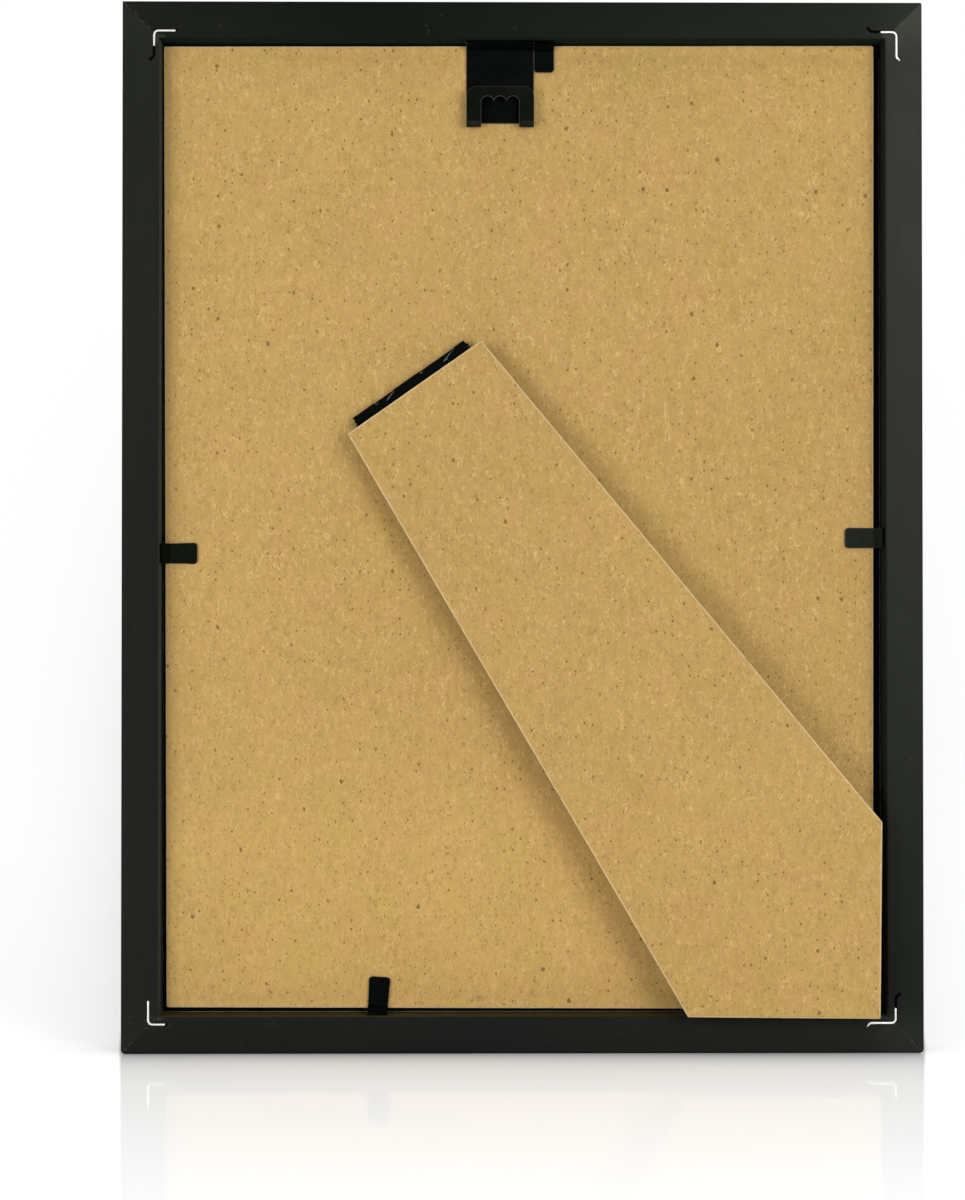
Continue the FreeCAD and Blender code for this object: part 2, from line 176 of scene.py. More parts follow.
def feed(node, sockets):
    """Feed a node's sockets, from numbers or from wires."""
    for key, value in sockets.items():
        if isinstance(value, Wire):
            value.tree.links.new(value.socket, node.inputs[key])
        else:
            node.inputs[key].default_value = value


def add(tree, kind, sockets=None, **settings):
    """Add a node, set its properties and feed its sockets. Returns the wire of its first output."""
    node = tree.nodes.new(kind)
    for name, value in settings.items():
        setattr(node, name, value)
    feed(node, sockets or {})
    return Wire(node.outputs[0])


def tree_of(*values):
    """The tree that the wires among some values belong to."""
    return next(value.tree for value in values if isinstance(value, Wire))


def maths(operation, *values):
    """One Math node. At least one of its values is a wire."""
    return add(tree_of(*values), "ShaderNodeMath", dict(enumerate(values)), operation=operation)


def most(first, *others):
    """The largest of some values."""
    for other in others:
        first = maths("MAXIMUM", first, other)
    return first


def least(first, *others):
    """The smallest of some values."""
    for other in others:
        first = maths("MINIMUM", first, other)
    return first


def vector(x=0.0, y=0.0, z=0.0):
    """A vector put together from its parts. At least one of them is a wire."""
    return add(tree_of(x, y, z), "ShaderNodeCombineXYZ", {0: x, 1: y, 2: z})


def ramp(value, low, high, start=0.0, end=1.0):
    """A smooth step of a value between two limits."""
    sockets = {"Value": value, "From Min": low, "From Max": high, "To Min": start, "To Max": end}
    return add(value.tree, "ShaderNodeMapRange", sockets, interpolation_type="SMOOTHSTEP")


print("Wires ready")

# %% [markdown]
# A shader group or a Geometry Nodes tree has named inputs. The kind of an input follows from its default
# value, so a list of names and defaults is all that a new tree needs.

# %% Trees with named inputs
SOCKET_KINDS = {
    float: "NodeSocketFloat",
    int: "NodeSocketInt",
    tuple: "NodeSocketColor",
    Vector: "NodeSocketVector",
    bpy.types.Material: "NodeSocketMaterial",
}


def add_inputs(tree, inputs):
    """Give a tree named inputs with their defaults. Returns all its inputs as wires, by name."""
    for label, value in inputs.items():
        socket = tree.interface.new_socket(label, in_out="INPUT", socket_type=SOCKET_KINDS[type(value)])
        socket.default_value = value
    tree.nodes.new("NodeGroupOutput")
    return {socket.name: Wire(socket) for socket in tree.nodes.new("NodeGroupInput").outputs if socket.name}


def start_group(name, inputs, outputs):
    """A shader group with named inputs and outputs. Returns the group and its input wires."""
    group = bpy.data.node_groups.new(name, "ShaderNodeTree")
    for label, kind in outputs.items():
        group.interface.new_socket(label, in_out="OUTPUT", socket_type=SOCKET_KINDS[kind])
    return group, add_inputs(group, inputs)


def end_group(group, **results):
    """Send the results of a group out."""
    feed(group.nodes["Group Output"], results)
    print(group.name + ":", len(group.nodes), "nodes")


def start_tree(name, inputs):
    """A Geometry Nodes tree with named inputs. Returns the tree and its input wires."""
    tree = bpy.data.node_groups.new(name, "GeometryNodeTree")
    for way in ("INPUT", "OUTPUT"):
        tree.interface.new_socket("Geometry", in_out=way, socket_type="NodeSocketGeometry")
    return tree, add_inputs(tree, inputs)


def end_tree(tree, given, geometry):
    """Close a tree with Realize Instances and Set Material."""
    real = add(tree, "GeometryNodeRealizeInstances", {0: geometry})
    coated = add(tree, "GeometryNodeSetMaterial", {0: real, "Material": given["Finish"]})
    feed(tree.nodes["Group Output"], {0: coated})
    print(tree.name + ":", len(tree.nodes), "nodes")


def spaced(values):
    """Keyword names made into the names of sockets."""
    return {label.replace("_", " "): value for label, value in values.items()}


print("Tree helpers ready")

# %% [markdown]
# ## Shader groups: what several finishes share
#
# Hardboard is pressed wood fibre. From near it shows pale and dark wisps, combed a little one way by the mat
# that it is made of, and specks of bark in several sizes. A wisp is drawn as a contour line of a noise, cut
# into pieces by a second noise. Specks are small balls about scattered points. Broad patches lean to green or
# to pink. The board, the leg and their sawn edges all use it.

# %% Patterns
def noise_of(place, scale, detail=2.0, roughness=0.5, distortion=0.0):
    """Noise value between about 0 and 1."""
    shape = {"Scale": scale, "Detail": detail, "Roughness": roughness, "Distortion": distortion}
    return add(place.tree, "ShaderNodeTexNoise", {"Vector": place, **shape})


def shifted(place, offset):
    """The same place moved, so that a second noise doesn't repeat the first."""
    return add(place.tree, "ShaderNodeVectorMath", {0: place, 1: offset}, operation="ADD")


def stretched(place, scale):
    """The same place with each axis scaled on its own."""
    return add(place.tree, "ShaderNodeMapping", {"Vector": place, "Scale": scale})


def wisps(place, offset, scale, width, low, high):
    """Thin broken lines along the middle contour of a noise."""
    there = shifted(place, offset)
    from_line = abs(noise_of(there, scale, 2.0, 0.55, 0.7) - 0.5)
    kept = ramp(noise_of(shifted(there, (31.0, 7.0, 19.0)), scale * 0.8, 1.0), low, high)
    return ramp(from_line, 0.0, width, 1.0, 0.0) * kept


def flattened(place, squash):
    """The place as seen from behind, in two coordinates. Squash below 1 draws a pattern out upwards."""
    x, y, z = place.split()
    return vector(y * 0.37 + x, (y * 0.61 + z) * squash)


def specks(place, offset, scale, radius, share):
    """Small irregular spots at scattered points. Share is how many of the points get one."""
    there = shifted(flattened(place, 0.8), offset)
    cells = {"Vector": there, "Scale": scale}
    scatter = add(place.tree, "ShaderNodeTexVoronoi", cells, voronoi_dimensions="2D")
    chance, size, _ = scatter.output("Color").split()
    size = (size * (radius * scale) + radius * scale * 0.6) * (noise_of(there, 2.2) * 1.6 + 0.2)
    return ramp(size - scatter, -0.03 * scale, 0.04 * scale) * maths("LESS_THAN", chance, share)


def mix_colour(factor, first, second, blend="MIX"):
    """Mix two colours by a factor."""
    tree = tree_of(factor, first, second)
    sockets = {0: factor, 6: first, 7: second}
    return add(tree, "ShaderNodeMix", sockets, data_type="RGBA", blend_type=blend).output(2)


def times(colour, factor):
    """A colour times a number."""
    tree = tree_of(colour, factor)
    return add(tree, "ShaderNodeVectorMath", {0: colour, "Scale": factor}, operation="SCALE")


print("Patterns ready")

# %% Shader group: hardboard fibres
COAT = {"Colour": tuple, "Roughness": float, "Height": float}
fibres, given = start_group(
    "hardboard fibres",
    {
        "Place": Vector((0, 0, 0)),
        "Board": (0.520, 0.331, 0.112, 1.0),
        "Pale Wisp": (0.76, 0.52, 0.22, 1.0),
        "Dark Wisp": (0.30, 0.175, 0.045, 1.0),
        "Bark": (0.15, 0.085, 0.022, 1.0),
        "Fleck Share": 0.62,
    },
    COAT,
)
place = given["Place"]
combed = stretched(place, (1.0, 1.0, 0.55))
cloudy = ramp(noise_of(place, 0.035, 3.0, 0.6), 0.3, 0.7)
grainy = ramp(noise_of(combed, 0.5, 3.0, 0.65), 0.25, 0.75)
fine = ramp(noise_of(combed, 1.9, 2.0, 0.6), 0.2, 0.8)
green = ramp(noise_of(shifted(place, (90.0, 40.0, 10.0)), 0.11, 3.0, 0.6), 0.42, 0.70)
pink = ramp(noise_of(shifted(place, (20.0, 60.0, 80.0)), 0.09, 3.0, 0.6), 0.45, 0.72)
colour = times(given["Board"], cloudy * 0.05 + 0.975 + (grainy - 0.5) * 0.12 + (fine - 0.5) * 0.13)
colour = mix_colour(green, colour, (0.960, 1.0, 0.92, 1), "MULTIPLY")
colour = mix_colour(pink, colour, (1.02, 0.975, 1.03, 1), "MULTIPLY")
pale = wisps(combed, (0.0, 0.0, 0.0), 0.62, 0.035, 0.50, 0.62)
pale_fine = wisps(combed, (17.0, 5.0, 43.0), 1.3, 0.06, 0.50, 0.62)
dark = wisps(combed, (53.0, 11.0, 3.0), 0.8, 0.035, 0.53, 0.63)
for lines, strength, tint in (
    (pale, 0.60, "Pale Wisp"),
    (pale_fine, 0.45, "Pale Wisp"),
    (dark, 0.55, "Dark Wisp"),
):
    colour = mix_colour(lines * strength, colour, given[tint])
for offset, scale, radius, share, strength in (
    ((3.0, 13.0, 0.0), 0.50, 0.19, 0.17, 1.1),
    ((61.0, 33.0, 0.0), 0.16, 0.30, 0.10, 1.2),
    ((19.0, 71.0, 0.0), 0.80, 0.15, 0.24, 0.7),
):
    flecks = specks(place, offset, scale, radius, share)
    colour = mix_colour(flecks * given["Fleck Share"] * strength, colour, given["Bark"])
end_group(fibres, Colour=colour, Roughness=grainy * 0.12 + 0.72, Height=fine * 0.5 + (pale + pale_fine))

# %% [markdown]
# The rails are wrapped in a black satin foil. The foil has faint streaks along the rail, greasy smudges that
# change the gloss more than the colour, and a little dust. The same group with other values gives the painted
# steel of the tabs, the hanger and the hinge.

# %% Shader group: black skin with streaks, smudges and dust
skin, given = start_group(
    "black skin",
    {
        "Place": Vector((0, 0, 0)),
        "Streak Place": Vector((0, 0, 0)),
        "Black": (0.004, 0.0045, 0.004, 1.0),
        "Rubbed": (0.030, 0.031, 0.028, 1.0),
        "Rub": 0.3,
        "Mark": (0.06, 0.06, 0.056, 1.0),
        "Dust": 0.4,
        "Plain Roughness": 0.42,
    },
    COAT,
)
place = given["Place"]
streaks = ramp(noise_of(given["Streak Place"], 1.0, 3.0, 0.6), 0.35, 0.75)
smudge = ramp(noise_of(place, 0.07, 3.0, 0.65, 0.4), 0.45, 0.75)
scuff = wisps(place, (5.0, 9.0, 61.0), 0.22, 0.010, 0.62, 0.70)
dust = specks(place, (41.0, 2.0, 0.0), 0.25, 0.10, 0.12)
rubbed = (streaks * 0.35 + smudge * 0.3) * given["Rub"]
colour = mix_colour(rubbed, given["Black"], given["Rubbed"])
colour = mix_colour(least(scuff + dust, 1.0) * given["Dust"], colour, given["Mark"])
gloss = given["Plain Roughness"] + (smudge * -0.06 + 0.02) + streaks * 0.04
orange_peel = noise_of(place, 1.4)
end_group(skin, Colour=colour, Roughness=gloss, Height=orange_peel + streaks * 0.5)

# %% [markdown]
# Where two rails meet, the saw leaves a fine line, and the foil chips a little beside it. The line runs at 45
# degrees, so it lies where the distances to both outer faces are the same. Near the rebate's corner the nail
# has crushed the wood, and the foil there is paler. A second output lightens the black near the frame's
# outer corners, more at -X than at +X.

# %% Shader group: wear along the mitres
mitre, given = start_group(
    "mitre wear",
    {
        "Place": Vector((0, 0, 0)), "Half Width": half_width, "Half Height": half_height, "Line": 0.25,
        "Rebate": rail_back_width,
    },
    {"Mask": float, "Handling": float},
)
place = given["Place"]
x, _, z = place.split()
from_side = given["Half Width"] - abs(x)
from_end = given["Half Height"] - abs(z - given["Half Height"])
off_mitre = abs(from_side - from_end)
line = ramp(off_mitre, 0.0, given["Line"], 1.0, 0.0) * ramp(noise_of(place, 0.35), 0.50, 0.66, 0.02, 0.40)
flakes = ramp(noise_of(shifted(place, (9.0, 3.0, 5.0)), 1.3), 0.56, 0.66)
chips = flakes * ramp(off_mitre, 0.15, 0.6, 0.6, 0.0)
to_rebate_corner = abs(from_side - given["Rebate"]) + abs(from_end - given["Rebate"])
crushed = ramp(to_rebate_corner, 0.8, 2.4, 1.0, 0.0) * ramp(noise_of(place, 0.8), 0.45, 0.6)
# Lighter near the outer corners, more at -X than at +X.
corner_lightening = ramp(most(from_side, from_end), 3.0, 16.0, 1.0, 0.0) * ramp(x, -60.0, 60.0, 0.5, 0.15)
end_group(mitre, Mask=most(line, chips, crushed * 0.45), Handling=corner_lightening + 1.0)

# %% [markdown]
# ## Materials
#
# Every material starts from the same three nodes: object coordinates in millimetres, a Principled shader and
# a Bump. Numbers that are the same all over a surface are set on the shader itself.

# %% Material helpers
def place_in_mm(tree):
    """Object coordinates in millimetres."""
    return stretched(add(tree, "ShaderNodeTexCoord").output("Object"), (1 / MM,) * 3)


def new_material(name, bump, **values):
    """A material with its Principled shader, a Bump that is so deep, and the place in millimetres."""
    material = bpy.data.materials.new(name)
    material.use_nodes = True
    shader = material.node_tree.nodes["Principled BSDF"]
    relief = add(material.node_tree, "ShaderNodeBump", {"Strength": 1.0, "Distance": bump * MM})
    feed(shader, {**spaced(values), "Normal": relief})
    return material, shader, relief.socket.node, place_in_mm(material.node_tree)


def coat_with(group, shader, relief, sockets):
    """Place a group in a material and feed the shader and its Bump from it."""
    coat = add(sockets["Place"].tree, "ShaderNodeGroup", sockets, node_tree=group)
    feed(shader, {"Base Color": coat.output("Colour"), "Roughness": coat.output("Roughness")})
    feed(relief, {"Height": coat.output("Height")})
    return coat


def hardboard_material(name, bump, board, rim=0.0, low=0.0, **inputs):
    """Hardboard, with painted shade about its middle. Rim and low: painted light on its rim and its foot."""
    material, shader, relief, place = new_material(name, bump, Specular_IOR_Level=0.15)
    x, _, z = place.split()
    shaded_middle_at = {0: place, 1: (-15.0, board_back_y, 150.0)}
    from_middle = add(place.tree, "ShaderNodeVectorMath", shaded_middle_at, operation="DISTANCE").output("Value")
    inset = least(board_high.x - x, board_high.z - z, z - board_low.z)
    # Painted light: darker about the middle, lighter towards the rim and the foot.
    painted_light = ramp(from_middle, 45.0, 110.0, 0.945, 1.0) + ramp(z, 45.0, 80.0, low, 0.0)
    painted_light = painted_light + ramp(inset, 0.6, 3.6, rim, 0.0)
    coat_with(fibres, shader, relief, {"Place": place, "Board": times(board, painted_light), **spaced(inputs)})
    return material


def black_material(
    name, bump, stretch, specular, black, rubbed, metallic=0.0, mark=(0.06, 0.06, 0.056), **inputs
):
    """Black foil, paint or bare steel. Stretch scales the streaks: small along them, large across."""
    material, shader, relief, place = new_material(name, bump, Specular_IOR_Level=specular, Metallic=metallic)
    sockets = {"Place": place, "Streak Place": stretched(place, stretch), **spaced(inputs)}
    for label, colour in (("Black", black), ("Rubbed", rubbed), ("Mark", mark)):
        sockets[label] = (*colour, 1.0)
    coat_with(skin, shader, relief, sockets)
    return material


print("Material helpers ready")

# %% Hardboard
board_colour = (0.520, 0.332, 0.109)
hardboard = hardboard_material("hardboard", 0.03, board_colour)
# The board's face gets painted light on its rim and its foot.
board_face = hardboard_material("hardboard of the backing board", 0.03, board_colour, rim=0.17, low=0.13)
sawn_hardboard = hardboard_material(
    "sawn hardboard edge", 0.10, (0.69, 0.51, 0.25), Pale_Wisp=(0.84, 0.66, 0.38, 1),
    Dark_Wisp=(0.50, 0.34, 0.14, 1), Fleck_Share=0.25,
)
print("Hardboard for the leg, for the board's face and for sawn edges")

# %% [markdown]
# Each rail gets its own depth of black from a colour ramp that runs along it from end to end. The ramp is
# painted sheen: lighter where the lamps' sheen falls on the rail. The mitre group lightens the corners. The
# wall of the rebate shows the same foil from its rough side, with its own black of painted light: lighter
# where it faces the light, and tinted by a painted glow of the hardboard beside it.

# %% Foil of the rails
across_frame, up_frame = (-half_width, half_width), (0.0, outer_height)
FOILS = {  # axis, range along it, and three stops: place between 0 and 1, then the black in thousandths
    "top_rail": (0, across_frame, ((0.0, 14, 16, 12.5), (0.68, 4.2, 6.4, 4.6), (1.0, 9.5, 10.5, 8.5))),
    "bottom_rail": (0, across_frame, ((0.1, 14.5, 15, 13), (0.55, 10, 11, 10), (1.0, 11, 12, 10))),
    "left_rail": (2, up_frame, ((0.1, 12, 14, 12), (0.5, 22, 24, 19), (0.8, 29.5, 31.5, 25.5))),
    "right_rail": (2, up_frame, ((0.0, 13.5, 14, 12), (0.45, 11.5, 12, 10), (0.8, 14, 15.5, 12.5))),
}
# Painted light: each wall's black is lighter where it faces the light, tinted by the hardboard's painted
# glow.
PAINTED_LIGHT_WALLS = {  # black of the rebate's wall, in thousandths
    "top_rail": (12.7, 20.0, 15.5), "bottom_rail": (54.0, 45.0, 19.0),
    "left_rail": (17.0, 20.0, 15.0), "right_rail": (49.0, 54.0, 43.0),
}


def foil_material(name, axis, ends, stops):
    """Satin foil of one rail, with mitre wear over it. Its black changes along the rail as painted sheen."""
    material, shader, relief, place = new_material(name, 0.006, Specular_IOR_Level=0.03)
    tree = place.tree
    along_rail = {"Value": place.split()[axis], "From Min": ends[0], "From Max": ends[1]}
    # Painted sheen: the ramp's black is lighter where the lamps' sheen falls on the rail.
    black = add(tree, "ShaderNodeValToRGB", {0: add(tree, "ShaderNodeMapRange", along_rail)})
    elements = black.socket.node.color_ramp.elements
    while len(elements) < len(stops):
        elements.new(1.0)
    for element, (position, *thousandths) in zip(elements, stops):
        element.position = position
        element.color = [part / 1000 for part in thousandths] + [1.0]
    mask = add(tree, "ShaderNodeGroup", {"Place": place}, node_tree=mitre)
    lightening_factor = mask.output("Handling")
    streak_place = stretched(place, [0.03 if axis == other else 0.9 for other in range(3)])
    blacks = {"Black": times(black, lightening_factor), "Rubbed": times(black, lightening_factor * 1.9)}
    coat = coat_with(skin, shader, relief, {"Place": place, "Streak Place": streak_place, **blacks})
    worn = mix_colour(mask * 0.8, coat.output("Colour"), (0.075, 0.075, 0.068, 1.0))
    feed(shader, {"Base Color": worn})
    return material


for node, rule in FOILS.items():
    FOILS[node] = foil_material("satin foil of the " + node.replace("_", " "), *rule)
for node, thousandths in PAINTED_LIGHT_WALLS.items():
    PAINTED_LIGHT_WALLS[node] = black_material(
        "rebate of the " + node.replace("_", " "), 0.03, (0.4, 0.4, 0.4), 0.0,
        [part / 1000 for part in thousandths], [part / 600 for part in thousandths],
        Rub=0.6, mark=(0.03, 0.03, 0.028), Dust=0.2, Plain_Roughness=0.8,
    )
print("Foils and walls:", len(FOILS) + len(PAINTED_LIGHT_WALLS))

# %% [markdown]
# All the steel is painted black but for the nails and the pin. What a hand or a wall has rubbed is
# paler, and a punched edge shows the metal. On the left tab the paler steel is painted light, and along
# the hinge's seams the bright edge steel is a painted glint. The insert is a white card whose back is
# painted dark, as painted shade in the deep gap beside the board, and the glass is clear but for a faint
# haze.

# %% Steel and card
black_steel = black_material(
    "black painted steel", 0.004, (0.3, 0.3, 0.3), 0.02, (0.0006, 0.0014, 0.0008), (0.009, 0.011, 0.009),
    Rub=0.35, mark=(0.03, 0.03, 0.028), Dust=0.15, Plain_Roughness=0.45,
)
worn_steel = black_material(
    "black painted steel, worn", 0.004, (0.3, 0.3, 0.3), 0.02,
    (0.0027, 0.0038, 0.0022), (0.014, 0.016, 0.014),
    Rub=0.4, mark=(0.05, 0.05, 0.047), Dust=0.25, Plain_Roughness=0.45,
)
# Paler steel: on the left tab it is painted light from the stronger lamp beside it. The hanger's fold uses it
# too.
rubbed_and_lit_steel = black_material(
    "black steel, rubbed, with painted light", 0.006, (0.5, 0.5, 0.5), 0.05, (0.0085, 0.0105, 0.0072),
    (0.024, 0.027, 0.022), Rub=0.6, mark=(0.06, 0.06, 0.055), Dust=0.25, Plain_Roughness=0.5,
)
# Bright edge steel: bare metal on cut edges, and a painted glint on the hinge's seams.
bare_edge_and_glint = black_material(
    "rubbed steel edge and painted glint", 0.006, (1.0, 1.0, 1.0), 0.3, (0.050, 0.052, 0.050), (0.16, 0.16, 0.155),
    Rub=1.0, mark=(0.10, 0.10, 0.10), Dust=0.3, Plain_Roughness=0.40,
)
nail_steel = black_material(
    "bright nail steel", 0.010, (0.8, 0.1, 0.8), 0.5, (0.64, 0.645, 0.62), (0.48, 0.48, 0.46), 1.0,
    Rub=0.9, mark=(0.2, 0.2, 0.19), Dust=0.3, Plain_Roughness=0.42,
)
pin_steel = black_material(
    "hinge pin steel", 0.004, (0.8, 0.8, 0.8), 0.5, (0.10, 0.10, 0.10), (0.25, 0.25, 0.24), 1.0,
    Rub=0.8, Dust=0.3, Plain_Roughness=0.35,
)
# Painted shade: the card's back is dark so the deep gap beside the board reads as shade.
shaded_card_back = black_material(
    "card back painted dark as shade", 0.004, (0.8, 0.8, 0.8), 0.05, (0.004, 0.004, 0.004), (0.008, 0.008, 0.008),
    Rub=0.6, Dust=0.05, Plain_Roughness=0.8,
)
card = black_material(
    "plain insert card", 0.004, (1.6, 1.6, 1.6), 0.2, (0.83, 0.82, 0.79), (0.78, 0.77, 0.73),
    Rub=0.8, Dust=0.03, Plain_Roughness=0.7,
)
print("Materials so far:", len(bpy.data.materials))

# %% Glass
glass, shader, relief, place = new_material(
    "clear glass", 0.0005, Base_Color=(0.97, 0.985, 0.98, 1), Transmission_Weight=1.0, IOR=1.5
)
feed(shader, {"Roughness": ramp(noise_of(place, 0.03, 3.0), 0.4, 0.8, 0.0, 0.035)})
feed(relief, {"Height": noise_of(place, 0.05)})
print("Glass ready")

# %% [markdown]
# ## Light, floor and background
#
# Two soft lamps stand close to the camera, one on each side, so narrow soft shadows fall on both sides of
# the leg. The stronger one is on the viewer's right. The sky is dim for the light that it gives, and plain
# white for whatever looks at it, also in a mirror or through glass.

# %% Sky and lamps
def looks_at(tree):
    """1 for a ray of the camera, also in a mirror or through glass, and 0 for the light that bounces."""
    rays = add(tree, "ShaderNodeLightPath")
    return most(*(rays.output("Is " + kind + " Ray") for kind in ("Camera", "Glossy", "Transmission")))


sky_light = 0.42
world = bpy.data.worlds.new("studio")
bpy.context.scene.world = world
world.use_nodes = True
brightness = looks_at(world.node_tree) * (1.0 - sky_light) + sky_light
feed(world.node_tree.nodes["Background"], {"Color": (1, 1, 1, 1), "Strength": brightness})


def softbox(name, place, size, watts):
    """A square area lamp that looks at the middle of the frame. Sizes are in millimetres."""
    light = bpy.data.lights.new(name, "AREA")
    light.energy = watts
    light.size = size * MM
    stand_and_aim(bpy.data.objects.new(name, light), Vector(place), Vector((0.0, board_back_y, half_height)))


softbox("right softbox", (-330.0, 580.0, 230.0), 320.0, 1.86)
softbox("left softbox", (390.0, 500.0, 130.0), 240.0, 1.30)
print("Sky and two softboxes ready")

# %% [markdown]
# Floor and wall share one group: a faint shade on both sides of the frame, so that no horizon shows. It
# follows the lines of sight past the frame's outline, so each place is first sent along its line of sight to
# the plane of the frame's back. Past the frame's back, towards the camera, the shade goes out.

# %% Shader group: shade beside the frame
shade, given = start_group(
    "shade beside the frame", {"Place": Vector((0, 0, 0)), "Reach": 13.0}, {"Light": float, "Outside": float}
)
x, y, z = given["Place"].split()
nearer = (camera_place.y - back_y) / most(camera_place.y - y, 1.0)
across = (x - camera_place.x) * nearer + camera_place.x
up = (z - camera_place.z) * nearer + camera_place.z
outside = most(abs(across) - half_width, 0.0)
depth = maths("EXPONENT", outside / -given["Reach"])
depth = depth * (ramp(across, -half_width, half_width, -1.0, 1.0) * 0.039 + 0.104)
depth = depth * ramp(up, 0.0, 200.0, 1.2, 0.0) * ramp(y, 0.0, 12.0, 1.0, 0.0)
end_group(shade, Light=1.0 - depth, Outside=outside)

# %% Floor and wall
stage_size = 3000.0
edge = stage_size / 2 * MM
left_back, right_back = (-edge, -edge, 0), (edge, -edge, 0)
STAGE = {
    "floor": [left_back, right_back, (edge, edge, 0), (-edge, edge, 0)],
    "wall": [(-edge, -edge, edge), (edge, -edge, edge), right_back, left_back],
}


def staged(name, material_name):
    """Floor or wall with a bare material. Returns its tree, the place, who looks at it and the shade."""
    mesh = bpy.data.meshes.new(name)
    mesh.from_pydata(STAGE[name], [], [(0, 1, 2, 3)])
    made = bpy.data.objects.new(name, mesh)
    bpy.context.collection.objects.link(made)
    made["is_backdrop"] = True
    material = bpy.data.materials.new(material_name)
    mesh.materials.append(material)
    material.use_nodes = True
    tree = material.node_tree
    tree.nodes.remove(tree.nodes["Principled BSDF"])
    place = place_in_mm(tree)
    return tree, place, looks_at(tree), add(tree, "ShaderNodeGroup", {"Place": place}, node_tree=shade)


print("Stage:", list(STAGE))

# %% [markdown]
# The floor is a white sheet with a faint gloss. It mirrors the foot of the frame and lets the mirror image
# fade further off, so the gloss is set by the distance to the frame's foot. The floor is lit like
# anything else, which keeps the soft shadow, and a little glow lifts it to white where it is looked at.
# Near the frame the glow is weaker, most at the frame's foot, and cool in tint: a painted shadow.
# Far behind the frame a white wall takes over, which only glows.

# %% White sheet and white wall
tree, place, looked_at, light = staged("floor", "white floor sheet")
outside = light.output("Outside")
x, y, _ = place.split()
beside = most(abs(x) - half_width, 0.0)
behind = most(abs(y) - back_y, 0.0)
distance = maths("SQRT", beside * beside + behind * behind)
mirror_share = maths("EXPONENT", distance / -260.0) * 0.21 * looked_at
lit_white = mix_colour(noise_of(place, 0.02), (0.80, 0.80, 0.80, 1), (0.84, 0.84, 0.84, 1))
sheet = add(tree, "ShaderNodeBsdfDiffuse", {"Color": mix_colour(1.0, lit_white, light, "MULTIPLY")})
# Painted shadow: the glow drops near the frame, and most at its foot.
painted_shade_near_frame = maths("EXPONENT", distance / -300.0)
glow_with_painted_shadow = painted_shade_near_frame * -0.10 + (maths("EXPONENT", distance / -11.0) * -0.42 + 0.58)
around = painted_shade_near_frame * -0.06 + 0.655
clear_of_frame = most(ramp(outside, 0.0, 0.5), ramp(y, front_y, front_y - 30.0))
strength = add(tree, "ShaderNodeMix", {0: clear_of_frame, 2: glow_with_painted_shadow, 3: around}, data_type="FLOAT")
glow_colour = mix_colour(clear_of_frame, (0.99, 1.04, 1.07, 1), (1, 1, 1, 1))
glow = add(tree, "ShaderNodeEmission", {"Color": glow_colour, "Strength": strength * light * looked_at})
lit = add(tree, "ShaderNodeAddShader", {0: sheet, 1: glow})
mirror = add(tree, "ShaderNodeBsdfAnisotropic", {"Color": (1, 1, 1, 1), "Roughness": 0.06})
blend = add(tree, "ShaderNodeMixShader", {0: mirror_share, 1: lit, 2: mirror})
feed(tree.nodes["Material Output"], {"Surface": blend})

tree, place, looked_at, light = staged("wall", "white wall")
strength = add(tree, "ShaderNodeMix", {0: looked_at, 2: sky_light, 3: light}, data_type="FLOAT")
glow = add(tree, "ShaderNodeEmission", {"Color": (1, 1, 1, 1), "Strength": strength})
feed(tree.nodes["Material Output"], {"Surface": glow})
print("Floor and wall ready")

# %% [markdown]
# ## Shape helpers
#
# Meshes are drawn in millimetres. A finished piece is shaded smooth up to an angle, shrunk to metres, tied to
# the body that it moves with, and its measured node is hidden.

# %% Shape helpers
def mesh_object(name, mesh, *materials):
    """Link a mesh as a new object with its materials."""
    made = bpy.data.objects.new(name, mesh)
    bpy.context.collection.objects.link(made)
    for material in materials:
        mesh.materials.append(material)
    return made


def from_points(name, points, faces=(), edges=()):
    """A mesh from its points and the faces or edges between them."""
    mesh = bpy.data.meshes.new(name)
    mesh.from_pydata([tuple(point) for point in points], list(edges), list(faces))
    return mesh


@contextmanager
def opened(mesh):
    """A mesh opened for editing, and written back when the block ends."""
    bm = bmesh.new()
    bm.from_mesh(mesh)
    yield bm
    bm.to_mesh(mesh)
    bm.free()


def settle(made):
    """Turn an object's modifiers into its plain mesh."""
    bpy.context.view_layer.update()
    evaluated = made.evaluated_get(bpy.context.evaluated_depsgraph_get())
    done = bpy.data.meshes.new_from_object(evaluated)
    made.modifiers.clear()
    made.data = done
    return made


def tidy(made, merge=0.002):
    """Merge doubles and point all faces outwards."""
    with opened(made.data) as bm:
        bmesh.ops.remove_doubles(bm, verts=bm.verts, dist=merge)
        bmesh.ops.recalc_face_normals(bm, faces=bm.faces)
    return made


def add_cut(made, tool, operation):
    """Cut an object with another one. The tool stays until the cut is settled."""
    cut = made.modifiers.new(operation.lower(), "BOOLEAN")
    cut.object, cut.operation, cut.solver = tool, operation, "EXACT"


def ease_edges(made, width, worn=-1):
    """Round the edges of a piece. Worn is the material of the rounding, or -1 to keep what is beside it."""
    ease = made.modifiers.new("ease", "BEVEL")
    ease.width, ease.segments, ease.limit_method, ease.angle_limit = width, 2, "ANGLE", math.radians(50)
    ease.material = worn
    return made


